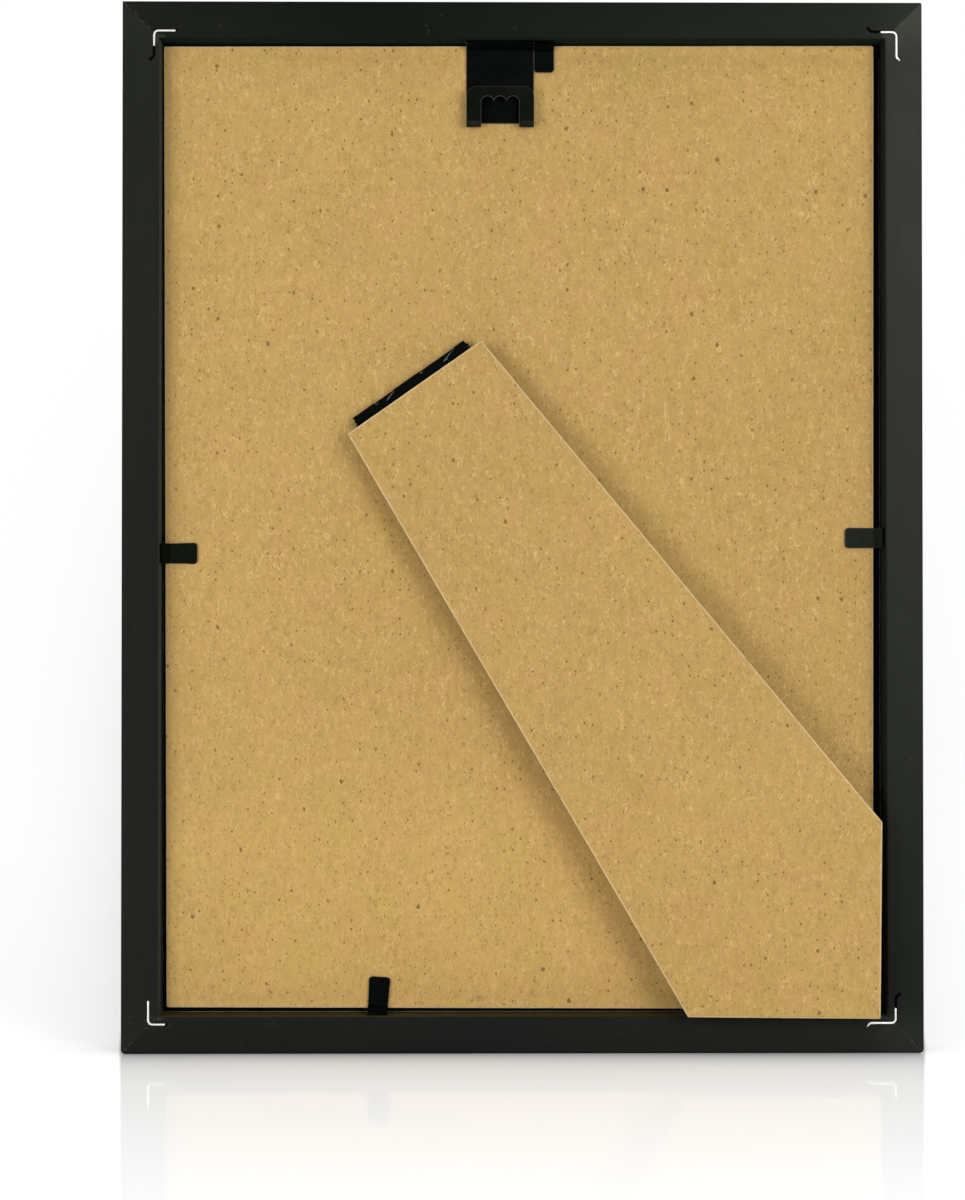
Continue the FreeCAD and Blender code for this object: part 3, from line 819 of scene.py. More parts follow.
def finish(made, body, slot, *nodes, smooth=30.0):
    """Last step for a piece: smooth shading, metres, its body, and hiding the nodes it stands for. Slot is
    not used.
    """
    made.data.shade_smooth()
    made.data.set_sharp_from_angle(angle=math.radians(smooth))
    made.data.transform(Matrix.Scale(MM, 4))
    made.data.update()
    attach(made, body)
    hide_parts(*nodes)
    bm = bmesh.new()
    bm.from_mesh(made.data)
    open_edges = sum(1 for edge in bm.edges if not edge.is_manifold)
    volume = bm.calc_volume(signed=True) / MM ** 3
    print(f"{made.name:24s} {len(bm.faces):6d} faces, open edges {open_edges}, volume {volume:9.1f} mm3")
    bm.free()


print("Shape helpers ready")

# %% Helpers for geometry trees
def grow(made, tree, **values):
    """Run a tree on an object with the given inputs, set by socket identifier."""
    modifier = made.modifiers.new(tree.name, "NODES")
    modifier.node_group = tree
    identifiers = {item.name: item.identifier for item in tree.interface.items_tree if item.in_out == "INPUT"}
    for label, value in spaced(values).items():
        modifier[identifiers[label]] = value
    return settle(made)


def attribute(tree, name):
    """A named number that each point carries."""
    return add(tree, "GeometryNodeInputNamedAttribute", {"Name": name}, data_type="FLOAT")


def moved(geometry, offset):
    """Each point moved by its own offset."""
    return add(geometry.tree, "GeometryNodeSetPosition", {0: geometry, "Offset": offset})


def bent_path(points, bend_radius, step):
    """A path through some points, its corners rounded, in even steps."""
    path = add(points.tree, "GeometryNodeMeshToCurve", {0: points})
    rounding = {0: path, "Count": 8, "Radius": bend_radius, "Limit Radius": True}
    path = add(path.tree, "GeometryNodeFilletCurve", rounding, mode="POLY")
    return add(path.tree, "GeometryNodeResampleCurve", {0: path, "Length": step}, mode="LENGTH")


def sweep(path, section, caps=False):
    """Sweep a section along a path whose upright stays upright."""
    path = add(path.tree, "GeometryNodeSetCurveNormal", {0: path}, mode="Z_UP")
    sockets = {"Curve": path, "Profile Curve": section, "Fill Caps": caps}
    return add(path.tree, "GeometryNodeCurveToMesh", sockets)


print("Geometry helpers ready")

# %% [markdown]
# ## V-nails
#
# A V-nail is a strip of steel bent to an angle, with a small lip at each end that bites into the wood. One is
# driven across each mitre. They are four copies of one bent strip, so a Geometry Nodes tree makes them: a
# bent path, a flat section swept along it, and one copy on each of four points.
# A nail is never driven quite level. Each point carries how far along each leg the steel still shows.

# %% Geometry tree: V-nails
nail_tree, given = start_tree(
    "v-nails",
    {
        "Leg": 6.4, "Lip": 1.5, "Lip Angle": 50.0, "Bend Radius": 1.05, "Thickness": 0.5, "Height": 7.0,
        "Low": 0.1, "Sink": 4.0, "Finish": nail_steel,
    },
)
lip_angle = maths("RADIANS", given["Lip Angle"])
lip_drop = -(maths("SINE", lip_angle) * given["Lip"])
leg_length = given["Leg"]
lip_end = leg_length + maths("COSINE", lip_angle) * given["Lip"]
corners = [
    vector(lip_drop, lip_end),
    vector(0.0, leg_length),
    (0.0, 0.0, 0.0),
    vector(leg_length),
    vector(lip_end, lip_drop),
]
chooser = nail_tree.nodes.new("GeometryNodeIndexSwitch")
chooser.data_type = "VECTOR"
while len(chooser.index_switch_items) < len(corners):
    chooser.index_switch_items.new()
feed(chooser, {"Index": add(nail_tree, "GeometryNodeInputIndex"), **dict(enumerate(corners, 1))})
points = add(nail_tree, "GeometryNodeMeshLine", {"Count": len(corners)})
points = add(nail_tree, "GeometryNodeSetPosition", {0: points, "Position": Wire(chooser.outputs[0])})
section = {"Width": given["Thickness"], "Height": given["Height"]}
section = add(nail_tree, "GeometryNodeCurvePrimitiveQuadrilateral", section)
strip = sweep(bent_path(points, given["Bend Radius"], 0.22), section, caps=True)
here = add(nail_tree, "GeometryNodeInputPosition").split()
for leg, along in zip("ab", here):
    noted = {0: strip, "Name": "leg " + leg, "Value": along}
    strip = add(nail_tree, "GeometryNodeStoreNamedAttribute", noted)
upright = add(nail_tree, "GeometryNodeTransform", {0: strip, "Rotation": (math.pi / 2, 0.0, 0.0)})
turned = vector(0.0, attribute(nail_tree, "turn"))
nails = {"Points": given["Geometry"], "Instance": upright, "Rotation": turned}
nails = add(nail_tree, "GeometryNodeInstanceOnPoints", nails)
nails = add(nail_tree, "GeometryNodeRealizeInstances", {0: nails})
sunk = []
for leg in "ab":
    beyond = attribute(nail_tree, "leg " + leg) - attribute(nail_tree, "shown " + leg)
    sunk.append(ramp(beyond, 0.0, attribute(nail_tree, "fade " + leg)))
sinking = most(*sunk) * given["Sink"] * maths("GREATER_THAN", here[1], 0.0)
lift = given["Low"] + given["Height"] / 2.0
end_tree(nail_tree, given, moved(nails, vector(0.0, lift - sinking)))

# %% V-nails
# Each row: side, end, inset from the side and from the end, turn, shown a and b, fade a and b, slot a and b.
NAIL_CORNERS = (
    (-1, 0, 7.07, 7.47, 0.0, 6.3, 3.6, 4.2, 0.6, 20.0, 20.0),
    (1, 0, 6.80, 7.30, -90.0, 5.9, 4.2, 0.5, 0.6, 6.2, 4.7),
    (1, 1, 7.90, 7.37, 180.0, 5.2, 3.8, 1.2, 0.4, 5.9, 20.0),
    (-1, 1, 6.40, 7.43, 90.0, 6.2, 4.0, 5.0, 0.4, 20.0, 20.0),
)


def nails_at_corners(name, for_slots, **values):
    """Run the V-nail tree on four points. As a slot, a leg stops showing where the wood has closed."""
    spots = [
        (side * (half_width - from_side), 0.0, outer_height - from_end if end else from_end)
        for side, end, from_side, from_end, *_ in NAIL_CORNERS
    ]
    mesh = from_points(name, spots)
    columns = list(zip(*NAIL_CORNERS))
    shown_a, shown_b = columns[9:11] if for_slots else columns[5:7]
    fade_a, fade_b = ([0.3] * 4, [0.3] * 4) if for_slots else columns[7:9]
    for label, numbers in (
        ("turn", [math.radians(angle) for angle in columns[4]]),
        ("shown a", shown_a), ("shown b", shown_b), ("fade a", fade_a), ("fade b", fade_b),
    ):
        mesh.attributes.new(label, "FLOAT", "POINT").data.foreach_set("value", numbers)
    return tidy(grow(mesh_object(name, mesh), nail_tree, **values))


nail_thickness = 0.5
nails_low, nails_high = box_mm("corner_v_nails")
corner_nails = nails_at_corners(
    "corner_nails", False, Low=nails_low.y, Height=nails_high.y - nails_low.y, Thickness=nail_thickness
)
finish(settle(ease_edges(corner_nails, 0.07)), "frame", "nail_steel", "corner_v_nails")

# %% [markdown]
# ## Rails
#
# All four rails are cut from one moulding: a flat back, a rebate that holds the glass and the board, and a
# lip with a softly rounded sight edge. The tree sweeps that section along a straight path and shears both
# ends to 45 degrees: a point that lies z in from the outer face ends z sooner. A first and a last ring just
# short of the cut are kept full size and the cut ring is a touch smaller, which leaves the fine groove of a
# real mitre.

# %% Moulding section
def rounded_outline(corners, radii, steps=5):
    """Outline in a plane with each corner rounded by its radius."""
    outline = []
    for number, corner in enumerate(corners):
        corner = Vector(corner)
        before = (Vector(corners[number - 1]) - corner).normalized()
        after = (Vector(corners[(number + 1) % len(corners)]) - corner).normalized()
        radius = radii[number]
        half_angle = before.angle(after) / 2
        centre = corner + (before + after).normalized() * (radius / math.sin(half_angle))
        start = corner + before * (radius / math.tan(half_angle)) - centre
        end = corner + after * (radius / math.tan(half_angle)) - centre
        for step in range(steps + 1):
            arm = start.slerp(end, step / steps) if len(start) == 3 else start.lerp(end, step / steps)
            outline.append(centre + arm.normalized() * radius)
    return outline


outer_round, sight_round, inner_round, rebate_round = 0.8, 1.2, 0.15, 0.55
section_corners = [
    (0.0, front_y), (rail_front_width, front_y), (rail_front_width, front_y + lip_thickness),
    (rail_back_width, front_y + lip_thickness), (rail_back_width, back_y), (0.0, back_y),
]
section_radii = [outer_round, sight_round, inner_round, inner_round, rebate_round, outer_round]
section_points = rounded_outline(section_corners, section_radii, 6)
section_middle = rail_back_width / 2
print("Moulding section:", len(section_points), "points")

# %% Geometry tree: mitred moulding
rail_tree, given = start_tree(
    "mitred moulding",
    {"Length": 200.0, "Stations": 60, "Groove": 0.16, "Middle": section_middle, "Finish": PAINTED_LIGHT_WALLS["top_rail"]},
)
half = given["Length"] / 2.0
line = add(rail_tree, "GeometryNodeCurvePrimitiveLine", {"Start": vector(-half), "End": vector(half)})
line = add(rail_tree, "GeometryNodeResampleCurve", {0: line, "Count": given["Stations"]})
index = add(rail_tree, "GeometryNodeInputIndex")
nearest_end = least(index, given["Stations"] - 1 - index)
is_second = maths("COMPARE", nearest_end, 1.0, 0.1)
is_end = maths("COMPARE", nearest_end, 0.0, 0.1)
x, _, z = add(rail_tree, "GeometryNodeInputPosition").split()
near_end = maths("SIGN", x) * (half - given["Groove"])
line = moved(line, vector((near_end - x) * is_second))
ring_size = is_end * given["Groove"] / -8.0 + 1.0
line = add(rail_tree, "GeometryNodeSetCurveRadius", {0: line, "Radius": ring_size})
profile = add(rail_tree, "GeometryNodeMeshToCurve", {0: given["Geometry"]})
swept = sweep(line, profile, caps=True)
raised = add(rail_tree, "GeometryNodeTransform", {0: swept, "Translation": vector(0.0, 0.0, given["Middle"])})
end_tree(rail_tree, given, moved(raised, vector(-(x * z / half))))

# %% [markdown]
# The rails are then cut where steel goes in: a slot for each nail, a little wider than the nail because the
# blow opens the wood, and a slit for each tab. Last, the frame's four outer corners are rounded as sandpaper
# and handling leave them, by keeping only what lies inside a plate with rounded corners.

# %% Tools that cut the rails
def box_shell(bm, low, high):
    """Add a closed box to a bmesh."""
    made = bmesh.ops.create_cube(bm, size=1.0)
    bmesh.ops.scale(bm, vec=Vector(high) - Vector(low), verts=made["verts"])
    bmesh.ops.translate(bm, vec=(Vector(low) + Vector(high)) / 2, verts=made["verts"])


DRIVEN_ENDS = ("left_tab_root", "right_tab_root", "top_tab_root", "bottom_tab_root", "hanger_root")
slot_play = 0.09
slit_play = Vector((0.04, 0.04, 0.04))
slots = nails_at_corners(
    "nail slots", True, Low=nails_low.y - 0.05, Height=back_y - nails_low.y + 1.0,
    Thickness=nail_thickness + 2 * slot_play, Sink=4.6,
)
with opened(slots.data) as bm:
    for node in DRIVEN_ENDS:
        low, high = box_mm(node)
        box_shell(bm, low - slit_play, high + slit_play)

corner_rounds = [1.3, 1.4, 0.8, 0.45]
plan_corners = ((1, 0.0), (-1, 0.0), (-1, outer_height), (1, outer_height))
plan = rounded_outline([(side * half_width, 0.0, z) for side, z in plan_corners], corner_rounds, 8)
count = len(plan)
plate_points = [point + Vector((0, y, 0)) for y in (front_y - 1, back_y + 1) for point in plan]
plate_faces = [tuple(range(count)), tuple(range(2 * count - 1, count - 1, -1))]
plate_faces += [(i, i + count, (i + 1) % count + count, (i + 1) % count) for i in range(count)]
plate = tidy(mesh_object("corner plate", from_points("corner plate", plate_points, plate_faces)))
print("Cutting tools ready")

# %% Rails
RAILS = {  # length, turn about the frame's depth, and where the middle of the outer face lies
    "bottom_rail": (outer_width, 0.0, (0.0, 0.0, 0.0)),
    "top_rail": (outer_width, 180.0, (0.0, 0.0, outer_height)),
    "left_rail": (outer_height, 90.0, (-half_width, 0.0, half_height)),
    "right_rail": (outer_height, -90.0, (half_width, 0.0, half_height)),
}


def coat_wall(made, inward, origin, foil):
    """Give the rebate's wall its rougher foil with painted light: inward faces at the wall's distance."""
    made.data.materials.append(foil)
    for face in made.data.polygons:
        at_wall = (face.center - origin).dot(inward) > rail_back_width - 0.1
        if face.normal.dot(inward) > 0.9 and at_wall and face.center.y > front_y + lip_thickness:
            face.material_index = len(made.data.materials) - 1


loop = [(i, (i + 1) % len(section_points)) for i in range(len(section_points))]
drawn = [(-y, section_middle - z, 0.0) for z, y in section_points]
for node, (length, angle, origin) in RAILS.items():
    rail = mesh_object(node.replace("rail", "moulding"), from_points(node, drawn, edges=loop))
    grow(rail, rail_tree, Length=length, Stations=int(length / 4), Finish=FOILS[node])
    turn = Matrix.Rotation(math.radians(angle), 4, "Y")
    rail.data.transform(Matrix.Translation(origin) @ turn)
    add_cut(rail, plate, "INTERSECT")
    add_cut(rail, slots, "DIFFERENCE")
    tidy(settle(rail), 0.0005)
    coat_wall(rail, turn.to_3x3() @ Vector((0, 0, 1)), Vector(origin), PAINTED_LIGHT_WALLS[node])
    finish(rail, "frame", "black_rail", node, smooth=28.0)
for tool in (plate, slots):
    bpy.data.objects.remove(tool)

# %% [markdown]
# ## Hardboard: the backing board and the leg
#
# Both are plates that a saw has cut. A sawn edge of hardboard is never crisp: it wavers by a tenth of a
# millimetre and its rim is furry. The outline is walked in small steps, each step pushed in by a noise, and
# the wall is built in layers that waver on their own.

# %% Hardboard plates
def stepped_outline(corners, radius, step):
    """Rounded outline with extra points along its straight sides, as (x, z) vectors."""
    rounded = rounded_outline([(x, z, 0.0) for x, z in corners], [radius] * len(corners), 4)
    points = []
    for number, point in enumerate(rounded):
        after = rounded[(number + 1) % len(rounded)]
        pieces = max(1, round((after - point).length / step))
        points += [point.lerp(after, i / pieces) for i in range(pieces)]
    return points


def plate_mesh(name, corners, low_y, high_y, rim, waver, radius=0.4, step=1.3, layers=3):
    """Plate between two heights with an eased rim. Its outline goes round the corners in the X-Z plane."""
    points = stepped_outline(corners, radius, step)
    count = len(points)
    inward = []
    for number, point in enumerate(points):
        along = points[(number + 1) % count] - points[number - 1]
        inward.append(Vector((-along.y, along.x, 0.0)).normalized())
    heights = [(high_y, rim), (high_y - rim * 0.3, rim * 0.3)]
    heights += [(high_y - rim - (high_y - low_y - 2 * rim) * i / (layers - 1), 0.0) for i in range(layers)]
    heights += [(low_y + rim * 0.3, rim * 0.3), (low_y, rim)]
    ring = []
    for y, inset in heights:
        for point, side in zip(points, inward):
            rough = noise.noise(Vector((point.x * 0.9, point.y * 0.9, y * 2.0)))
            slow = noise.noise(Vector((point.x * 0.07, point.y * 0.07, 5.0)))
            placed = point + side * (inset + waver * (0.5 + 0.5 * rough) + waver * (0.5 + 0.5 * slow))
            ring.append((placed.x, y, placed.y))
    faces = [tuple(range(count)), tuple(range(len(ring) - 1, len(ring) - count - 1, -1))]
    for first in range(0, len(ring) - count, count):
        for i in range(count):
            j = (i + 1) % count
            faces.append((first + i, first + count + i, first + count + j, first + j))
    mesh = from_points(name, ring, faces)
    for face in mesh.polygons[2:]:
        face.material_index = 1
    return mesh


def cut_with(made, tool):
    """Cut one object with another, and remove the tool."""
    add_cut(made, tool, "DIFFERENCE")
    settle(made)
    bpy.data.objects.remove(tool)
    return made


board_corners = [
    (board_low.x + 0.27, board_low.z), (board_high.x - 0.5, board_low.z + 0.65),
    (board_high.x + 0.5, board_high.z - 0.2), (board_low.x - 0.3, board_high.z + 0.3),
]
board = mesh_object(
    "board_of_hardboard",
    plate_mesh("board", board_corners, board_low.y, board_high.y, 0.30, 0.05, radius=0.5),
    board_face, sawn_hardboard,
)
print("Board drawn with", len(board.data.vertices), "points")

# %% [markdown]
# ## The hinge's own frame
#
# The hinge is easiest to draw where it is made: x runs down the leg from its top edge, y along the barrel and
# z off the board. One matrix puts that drawing on the frame. A second one opens the leg by its resting angle.

# %% Hinge frame
leg_tilt = math.radians(35.05)
down_leg = Vector((-math.sin(leg_tilt), 0.0, -math.cos(leg_tilt)))
along_barrel = Vector((-math.cos(leg_tilt), 0.0, math.sin(leg_tilt)))
leg_top_middle = Vector((26.82, board_back_y, 164.91))
barrel_height = 1.85
barrel_before_leg = 1.2
barrel_length = 33.7
leg_under = 2 * barrel_height
leg_thickness = 2.5
rest_opening = math.radians(2.0)

hinge_matrix = Matrix((down_leg, along_barrel, Vector((0, 1, 0)))).transposed().to_4x4()
hinge_matrix.translation = leg_top_middle
barrel_middle = hinge_matrix @ Vector((-barrel_before_leg, 0.0, barrel_height))
opening = Matrix.Translation(barrel_middle) @ Matrix.Rotation(-rest_opening, 4, along_barrel)
opening = opening @ Matrix.Translation(-barrel_middle)
print("Barrel middle", [round(v, 2) for v in barrel_middle])

# %% [markdown]
# ## Rivets and pin
#
# The board's leaf is held by three rivets. A rivet is a turned part: one outline spun round an axis. The tree
# spins any outline with Curve to Mesh on a circle of radius 1, and sets copies of it in a row. The hinge pin
# is the same tree with one copy and another outline.

# %% Geometry tree: row of turned parts
turned_tree, given = start_tree(
    "row of turned parts", {"Sides": 32, "Copies": 3, "Spacing": 11.0, "Finish": black_steel}
)
spacing = given["Spacing"]
circle = add(turned_tree, "GeometryNodeCurvePrimitiveCircle", {"Resolution": given["Sides"], "Radius": 1.0})
outline = add(turned_tree, "GeometryNodeMeshToCurve", {0: given["Geometry"]})
spun = add(turned_tree, "GeometryNodeMergeByDistance", {0: sweep(circle, outline), "Distance": 0.004})
first = vector(0.0, spacing * (given["Copies"] - 1.0) / -2.0)
row = {"Count": given["Copies"], "Start Location": first, "Offset": vector(0.0, spacing)}
copies = {"Points": add(turned_tree, "GeometryNodeMeshLine", row), "Instance": spun}
end_tree(turned_tree, given, add(turned_tree, "GeometryNodeInstanceOnPoints", copies))


def turned_row(name, outline, coat, copies=1, spacing=0.0):
    """Run the tree on an outline of (radius, height) pairs that starts and ends on the axis."""
    drawn = [(radius - 1.0, -height, 0.0) for radius, height in outline]
    mesh = from_points(name, drawn, edges=[(i, i + 1) for i in range(len(drawn) - 1)])
    made = grow(mesh_object(name, mesh), turned_tree, Copies=copies, Spacing=spacing, Finish=coat)
    return tidy(made, 0.004)


def rivet_row(name, outline, coat):
    """Three turned parts where the rivets sit in the hinge's own frame."""
    made = turned_row(name, outline, coat, rivet_count, rivet_spacing)
    made.data.transform(Matrix.Translation((rivet_x, 0.0, 0.0)))
    return made


# %% Rivets
rivet_count, rivet_x, rivet_spacing = 3, 8.0, 11.0
leaf_thickness, board_thickness = 0.6, board_high.y - board_low.y
head_radius, head_height, shank_radius, tail_low = 1.9, 0.9, 1.0, 0.15 - board_thickness
arc = [math.radians(angle) for angle in range(0, 91, 10)]
rivet_outline = [
    (head_radius * math.sin(turned), leaf_thickness + head_height * (0.35 + 0.65 * math.cos(turned)))
    for turned in arc
] + [
    (head_radius, leaf_thickness), (shank_radius, leaf_thickness), (shank_radius, tail_low + 0.6),
    (head_radius - 0.15, tail_low + 0.6), (head_radius, tail_low + 0.45), (head_radius, tail_low + 0.15),
    (head_radius - 0.15, tail_low), (0.0, tail_low),
]
rivets = rivet_row("rivets_in_the_board", rivet_outline, black_steel)
rivets.data.transform(hinge_matrix)
finish(rivets, "frame", "black_steel", "board_rivets")

# %% Pin
pin_radius, pin_round, pin_half = 0.75, 0.3, barrel_length / 2 + 0.5
arc = [math.radians(angle) for angle in range(0, 91, 15)]
pin_outline = [(0.0, pin_half)] + [
    (pin_radius + pin_round * (math.sin(turned) - 1.0), pin_half + pin_round * (math.cos(turned) - 1.0))
    for turned in arc
]
pin_outline += [(radius, -height) for radius, height in reversed(pin_outline)]
pin = turned_row("pin_through_the_barrel", pin_outline, pin_steel)
onto_barrel = hinge_matrix @ Matrix.Translation((-barrel_before_leg, 0.0, barrel_height))
pin.data.transform(onto_barrel @ Matrix.Rotation(math.pi / 2, 4, "X"))
pin.data.materials.append(black_steel)
for face in pin.data.polygons:
    face.material_index = 1 if (face.center - barrel_middle).dot(along_barrel) > 0 else 0
finish(pin, "frame", "pin_steel", "hinge_pin")

# %% [markdown]
# The board has a hole and a counterbore for each rivet. The cutter is the same row of turned parts with a
# little play, so holes and rivets can't drift apart.

# %% Holes for the rivets
hole, sink, sink_top, below = shank_radius + 0.05, head_radius + 0.2, tail_low + 0.8, -4.0
hole_outline = [(0.0, 1.0), (hole, 1.0), (hole, sink_top), (sink, sink_top), (sink, below), (0.0, below)]
hole_tool = rivet_row("rivet holes", hole_outline, sawn_hardboard)
hole_tool.data.transform(hinge_matrix)
finish(cut_with(board, hole_tool), "frame", "hardboard", "backing_board")

# %% [markdown]
# ## Leg
#
# The leg is drawn shut, flat over the board: square to the barrel at its top, level at its foot, and upright
# where it would stick out past the board. Then it is opened by its resting angle, like the measured one.
# Four prongs of the hinge's leaf are driven into it, so it gets a slot for each.

# %% Leg
leg_half = along_barrel * (40.6 / 2)
leg_side_x, foot_z, side_height, foot_width = -87.9, 9.9, 47.6, 47.5
leg_corners = [
    (leg_top_middle.x - leg_half.x, leg_top_middle.z - leg_half.z),
    (leg_top_middle.x + leg_half.x, leg_top_middle.z + leg_half.z),
    (leg_side_x - 0.4, foot_z + side_height),
    (leg_side_x + 0.35, foot_z - 0.5),
    (leg_side_x + foot_width, foot_z - 0.2),
]
leg_low = board_back_y + leg_under
leg = mesh_object(
    "leg_of_hardboard", plate_mesh("leg", leg_corners, leg_low, leg_low + leg_thickness, 0.42, 0.05),
    hardboard, sawn_hardboard,
)
prong_x, prong_length, prong_height, prong_spacing, prong_count, prong_half = 11.0, 3.0, 1.8, 8.0, 4, 0.3


def add_prongs(bm, root, play=0.0):
    """Add the row of prongs to a bmesh. Root is how far below the leg they start, play makes them larger."""
    for i in range(prong_count):
        y = (i - (prong_count - 1) / 2) * prong_spacing
        low = (prong_x - play, y - prong_half - play, leg_under - root)
        high = (prong_x + prong_length + play, y + prong_half + play, leg_under + prong_height + play)
        box_shell(bm, low, high)


prong_slots = mesh_object("prong slots", bpy.data.meshes.new("prong slots"))
with opened(prong_slots.data) as bm:
    add_prongs(bm, 0.5, play=0.05)
prong_slots.data.transform(hinge_matrix)
cut_with(tidy(leg), prong_slots)
leg.data.transform(opening)
finish(leg, "leg", "hardboard", "easel_leg")

# %% [markdown]
# ## Hinge leaves
#
# Each leaf is one sheet of steel. Its plate lies flat, and tongues run on from it and roll round the pin, so
# the tongues of the two leaves take turns along the barrel. The sheet is drawn as a grid over its own length
# and width, and each row is sent to its place on the flat, the ramp or the roll.
# The tongues' sides are cut at a slant, so over the barrel's crest the seams run askew. Faces along these
# seams near the crest get the bright edge steel as a painted glint. Cheap rolled knuckles also differ a
# little in size. A Solidify modifier gives the sheet its thickness.

# %% Sheet of a hinge leaf
roll_radius, roll_turn = 1.45, 250.0
knuckle_ends = [0.0, 6.3, 10.6, 19.8, 28.5, barrel_length]
knuckle_slants = [0.0, 0.8, 3.0, 1.0, 4.0, 0.0]
knuckle_swell = [1.0, 0.93, 1.0, 0.94, 1.05]
knuckle_gap = 0.14
seam_width = 0.85
crest_side = 149.0
plate_corner = 2.0


def leaf_rows(length):
    """Rows of the sheet, from its far end to the end of the roll: x and z of its middle, and roll angle."""
    flat_z = leaf_thickness / 2
    rows = [(length - i * 0.25, flat_z, None) for i in range(9)]
    rows += [(x, flat_z, None) for x in (9.0, 7.0, 5.0, 3.0, 1.9)]
    rows += [(0.9, flat_z, 0.0), (0.3, flat_z + 0.01, 0.0), (-0.4, flat_z + 0.05, 0.0)]
    steps = int(roll_turn / 8)
    for i in range(steps + 1):
        turned = roll_turn * i / steps
        angle = math.radians(turned)
        x = -barrel_before_leg - roll_radius * math.sin(angle)
        rows.append((x, barrel_height - roll_radius * math.cos(angle), turned))
    return rows


def seam_shift(knuckle_end, side):
    """How far a seam has moved along the barrel. Side is 0 at the board, 90 outermost, 180 on the crest."""
    over_crest = min(max((side - crest_side) / 38.0, -0.5), 0.5)
    from_board = min(max(side / 60.0, 0.0), 1.0)
    return -knuckle_slants[knuckle_end] * over_crest * from_board


def leaf_spans(first_knuckle):
    """The tongues of a leaf: where each starts and ends along the barrel, and its number."""
    half, last = barrel_length / 2, len(knuckle_ends) - 2
    spans = []
    for i in range(first_knuckle, last + 1, 2):
        low = knuckle_ends[i] + (knuckle_gap / 2 if i else 0.0) - half
        high = knuckle_ends[i + 1] - (knuckle_gap / 2 if i < last else 0.0) - half
        spans.append((low, high, i))
    return spans


def leaf_columns(spans):
    """Columns of the sheet across its width, with one on each side of every tongue and seam."""
    half = barrel_length / 2
    seams = [low + seam_width for low, _, i in spans if i]
    edges = sorted({-half, half, *[edge for span in spans for edge in span[:2]], *seams})
    columns = []
    for low, high in zip(edges, edges[1:]):
        pieces = max(1, round((high - low) / 0.8))
        columns += [low + (high - low) * i / pieces for i in range(pieces)]
    return columns + [edges[-1]]


def leaf_point(row, y, span, length, from_top):
    """Where a point of the sheet lies. Roll rows follow the slanted seams on both sides of their tongue."""
    x, z, angle = row
    from_end = length - x
    if angle is None and from_end < plate_corner:
        half = barrel_length / 2
        y *= (half - plate_corner + math.sqrt(plate_corner ** 2 - (plate_corner - from_end) ** 2)) / half
    if angle is not None and span:
        low, high, knuckle = span
        side = 180.0 - angle if from_top else angle
        share = (y - low) / (high - low)
        shift = seam_shift(knuckle, side) * (1.0 - share) + seam_shift(knuckle + 1, side) * share
        y += shift * min(max((0.9 - x) / 0.9, 0.0), 1.0)
        x = -barrel_before_leg + (x + barrel_before_leg) * knuckle_swell[knuckle]
        z = barrel_height + (z - barrel_height) * knuckle_swell[knuckle]
    return x, y, leg_under - z if from_top else z


def leaf_mesh(name, first_knuckle, length, from_top):
    """Sheet of one leaf, without thickness. Faces along a slanted seam near the crest get a painted glint."""
    spans = leaf_spans(first_knuckle)
    rows, columns = leaf_rows(length), leaf_columns(spans)
    plate_rows = sum(1 for row in rows if row[2] is None)
    grid = {}
    mesh = bpy.data.meshes.new(name)
    with opened(mesh) as bm:
        for i in range(len(rows) - 1):
            for j in range(len(columns) - 1):
                middle_y = (columns[j] + columns[j + 1]) / 2
                span = next((span for span in spans if span[0] < middle_y < span[1]), None)
                if i + 1 >= plate_rows and not span:
                    continue
                ring = [(i, j), (i + 1, j), (i + 1, j + 1), (i, j + 1)]
                for row, column in ring:
                    if (row, column) not in grid:
                        placed = leaf_point(rows[row], columns[column], span, length, from_top)
                        grid[row, column] = bm.verts.new(placed)
                face = bm.faces.new([grid[corner] for corner in ring])
                # Painted glint: faces along a seam, near the crest, get the bright edge steel.
                if span and span[2] and rows[i][2] and middle_y < span[0] + seam_width:
                    side = 180.0 - rows[i][2] if from_top else rows[i][2]
                    face.material_index = 2 if abs(side - crest_side) < 6.0 * knuckle_slants[span[2]] else 0
        bmesh.ops.recalc_face_normals(bm, faces=bm.faces)
    return mesh


print("Tongues of the two leaves:", len(leaf_spans(0)), "and", len(leaf_spans(1)))

# %% Hinge leaves
def thicken(made, thickness, worn=-1):
    """Give a sheet its thickness, with its cut edge in the second material, and ease the edges."""
    solid = made.modifiers.new("thickness", "SOLIDIFY")
    solid.thickness, solid.offset, solid.use_even_offset, solid.material_offset_rim = thickness, 0.0, True, 1
    return settle(ease_edges(made, 0.07, worn))


leaf_coats = (black_steel, worn_steel, bare_edge_and_glint)
board_leaf = mesh_object("leaf_on_the_board", leaf_mesh("board leaf", 0, 14.0, False), *leaf_coats)
thicken(board_leaf, leaf_thickness)
leaf_holes = [(0.0, 2.0), (hole, 2.0), (hole, -1.0), (0.0, -1.0)]
cut_with(board_leaf, rivet_row("leaf holes", leaf_holes, bare_edge_and_glint))
board_leaf.data.transform(hinge_matrix)
finish(board_leaf, "frame", "black_steel", "hinge_board_leaf")

leg_leaf = mesh_object("leaf_under_the_leg", leaf_mesh("leg leaf", 1, 17.0, True), *leaf_coats)
thicken(leg_leaf, leaf_thickness)
with opened(leg_leaf.data) as bm:
    add_prongs(bm, 0.3)
leg_leaf.data.transform(opening @ hinge_matrix)
finish(leg_leaf, "leg", "black_steel", "hinge_leg_leaf")

# %% [markdown]
# ## Turn tabs
#
# Four strips of steel hold the board down. Each comes out of the rebate's wall, bends down onto the board and
# lies flat. The four differ only in reach and place, so one tree makes them all: a bent path, a ribbon swept
# along it, and a rule for its width, a little wider towards the tip and rounded off at the end.

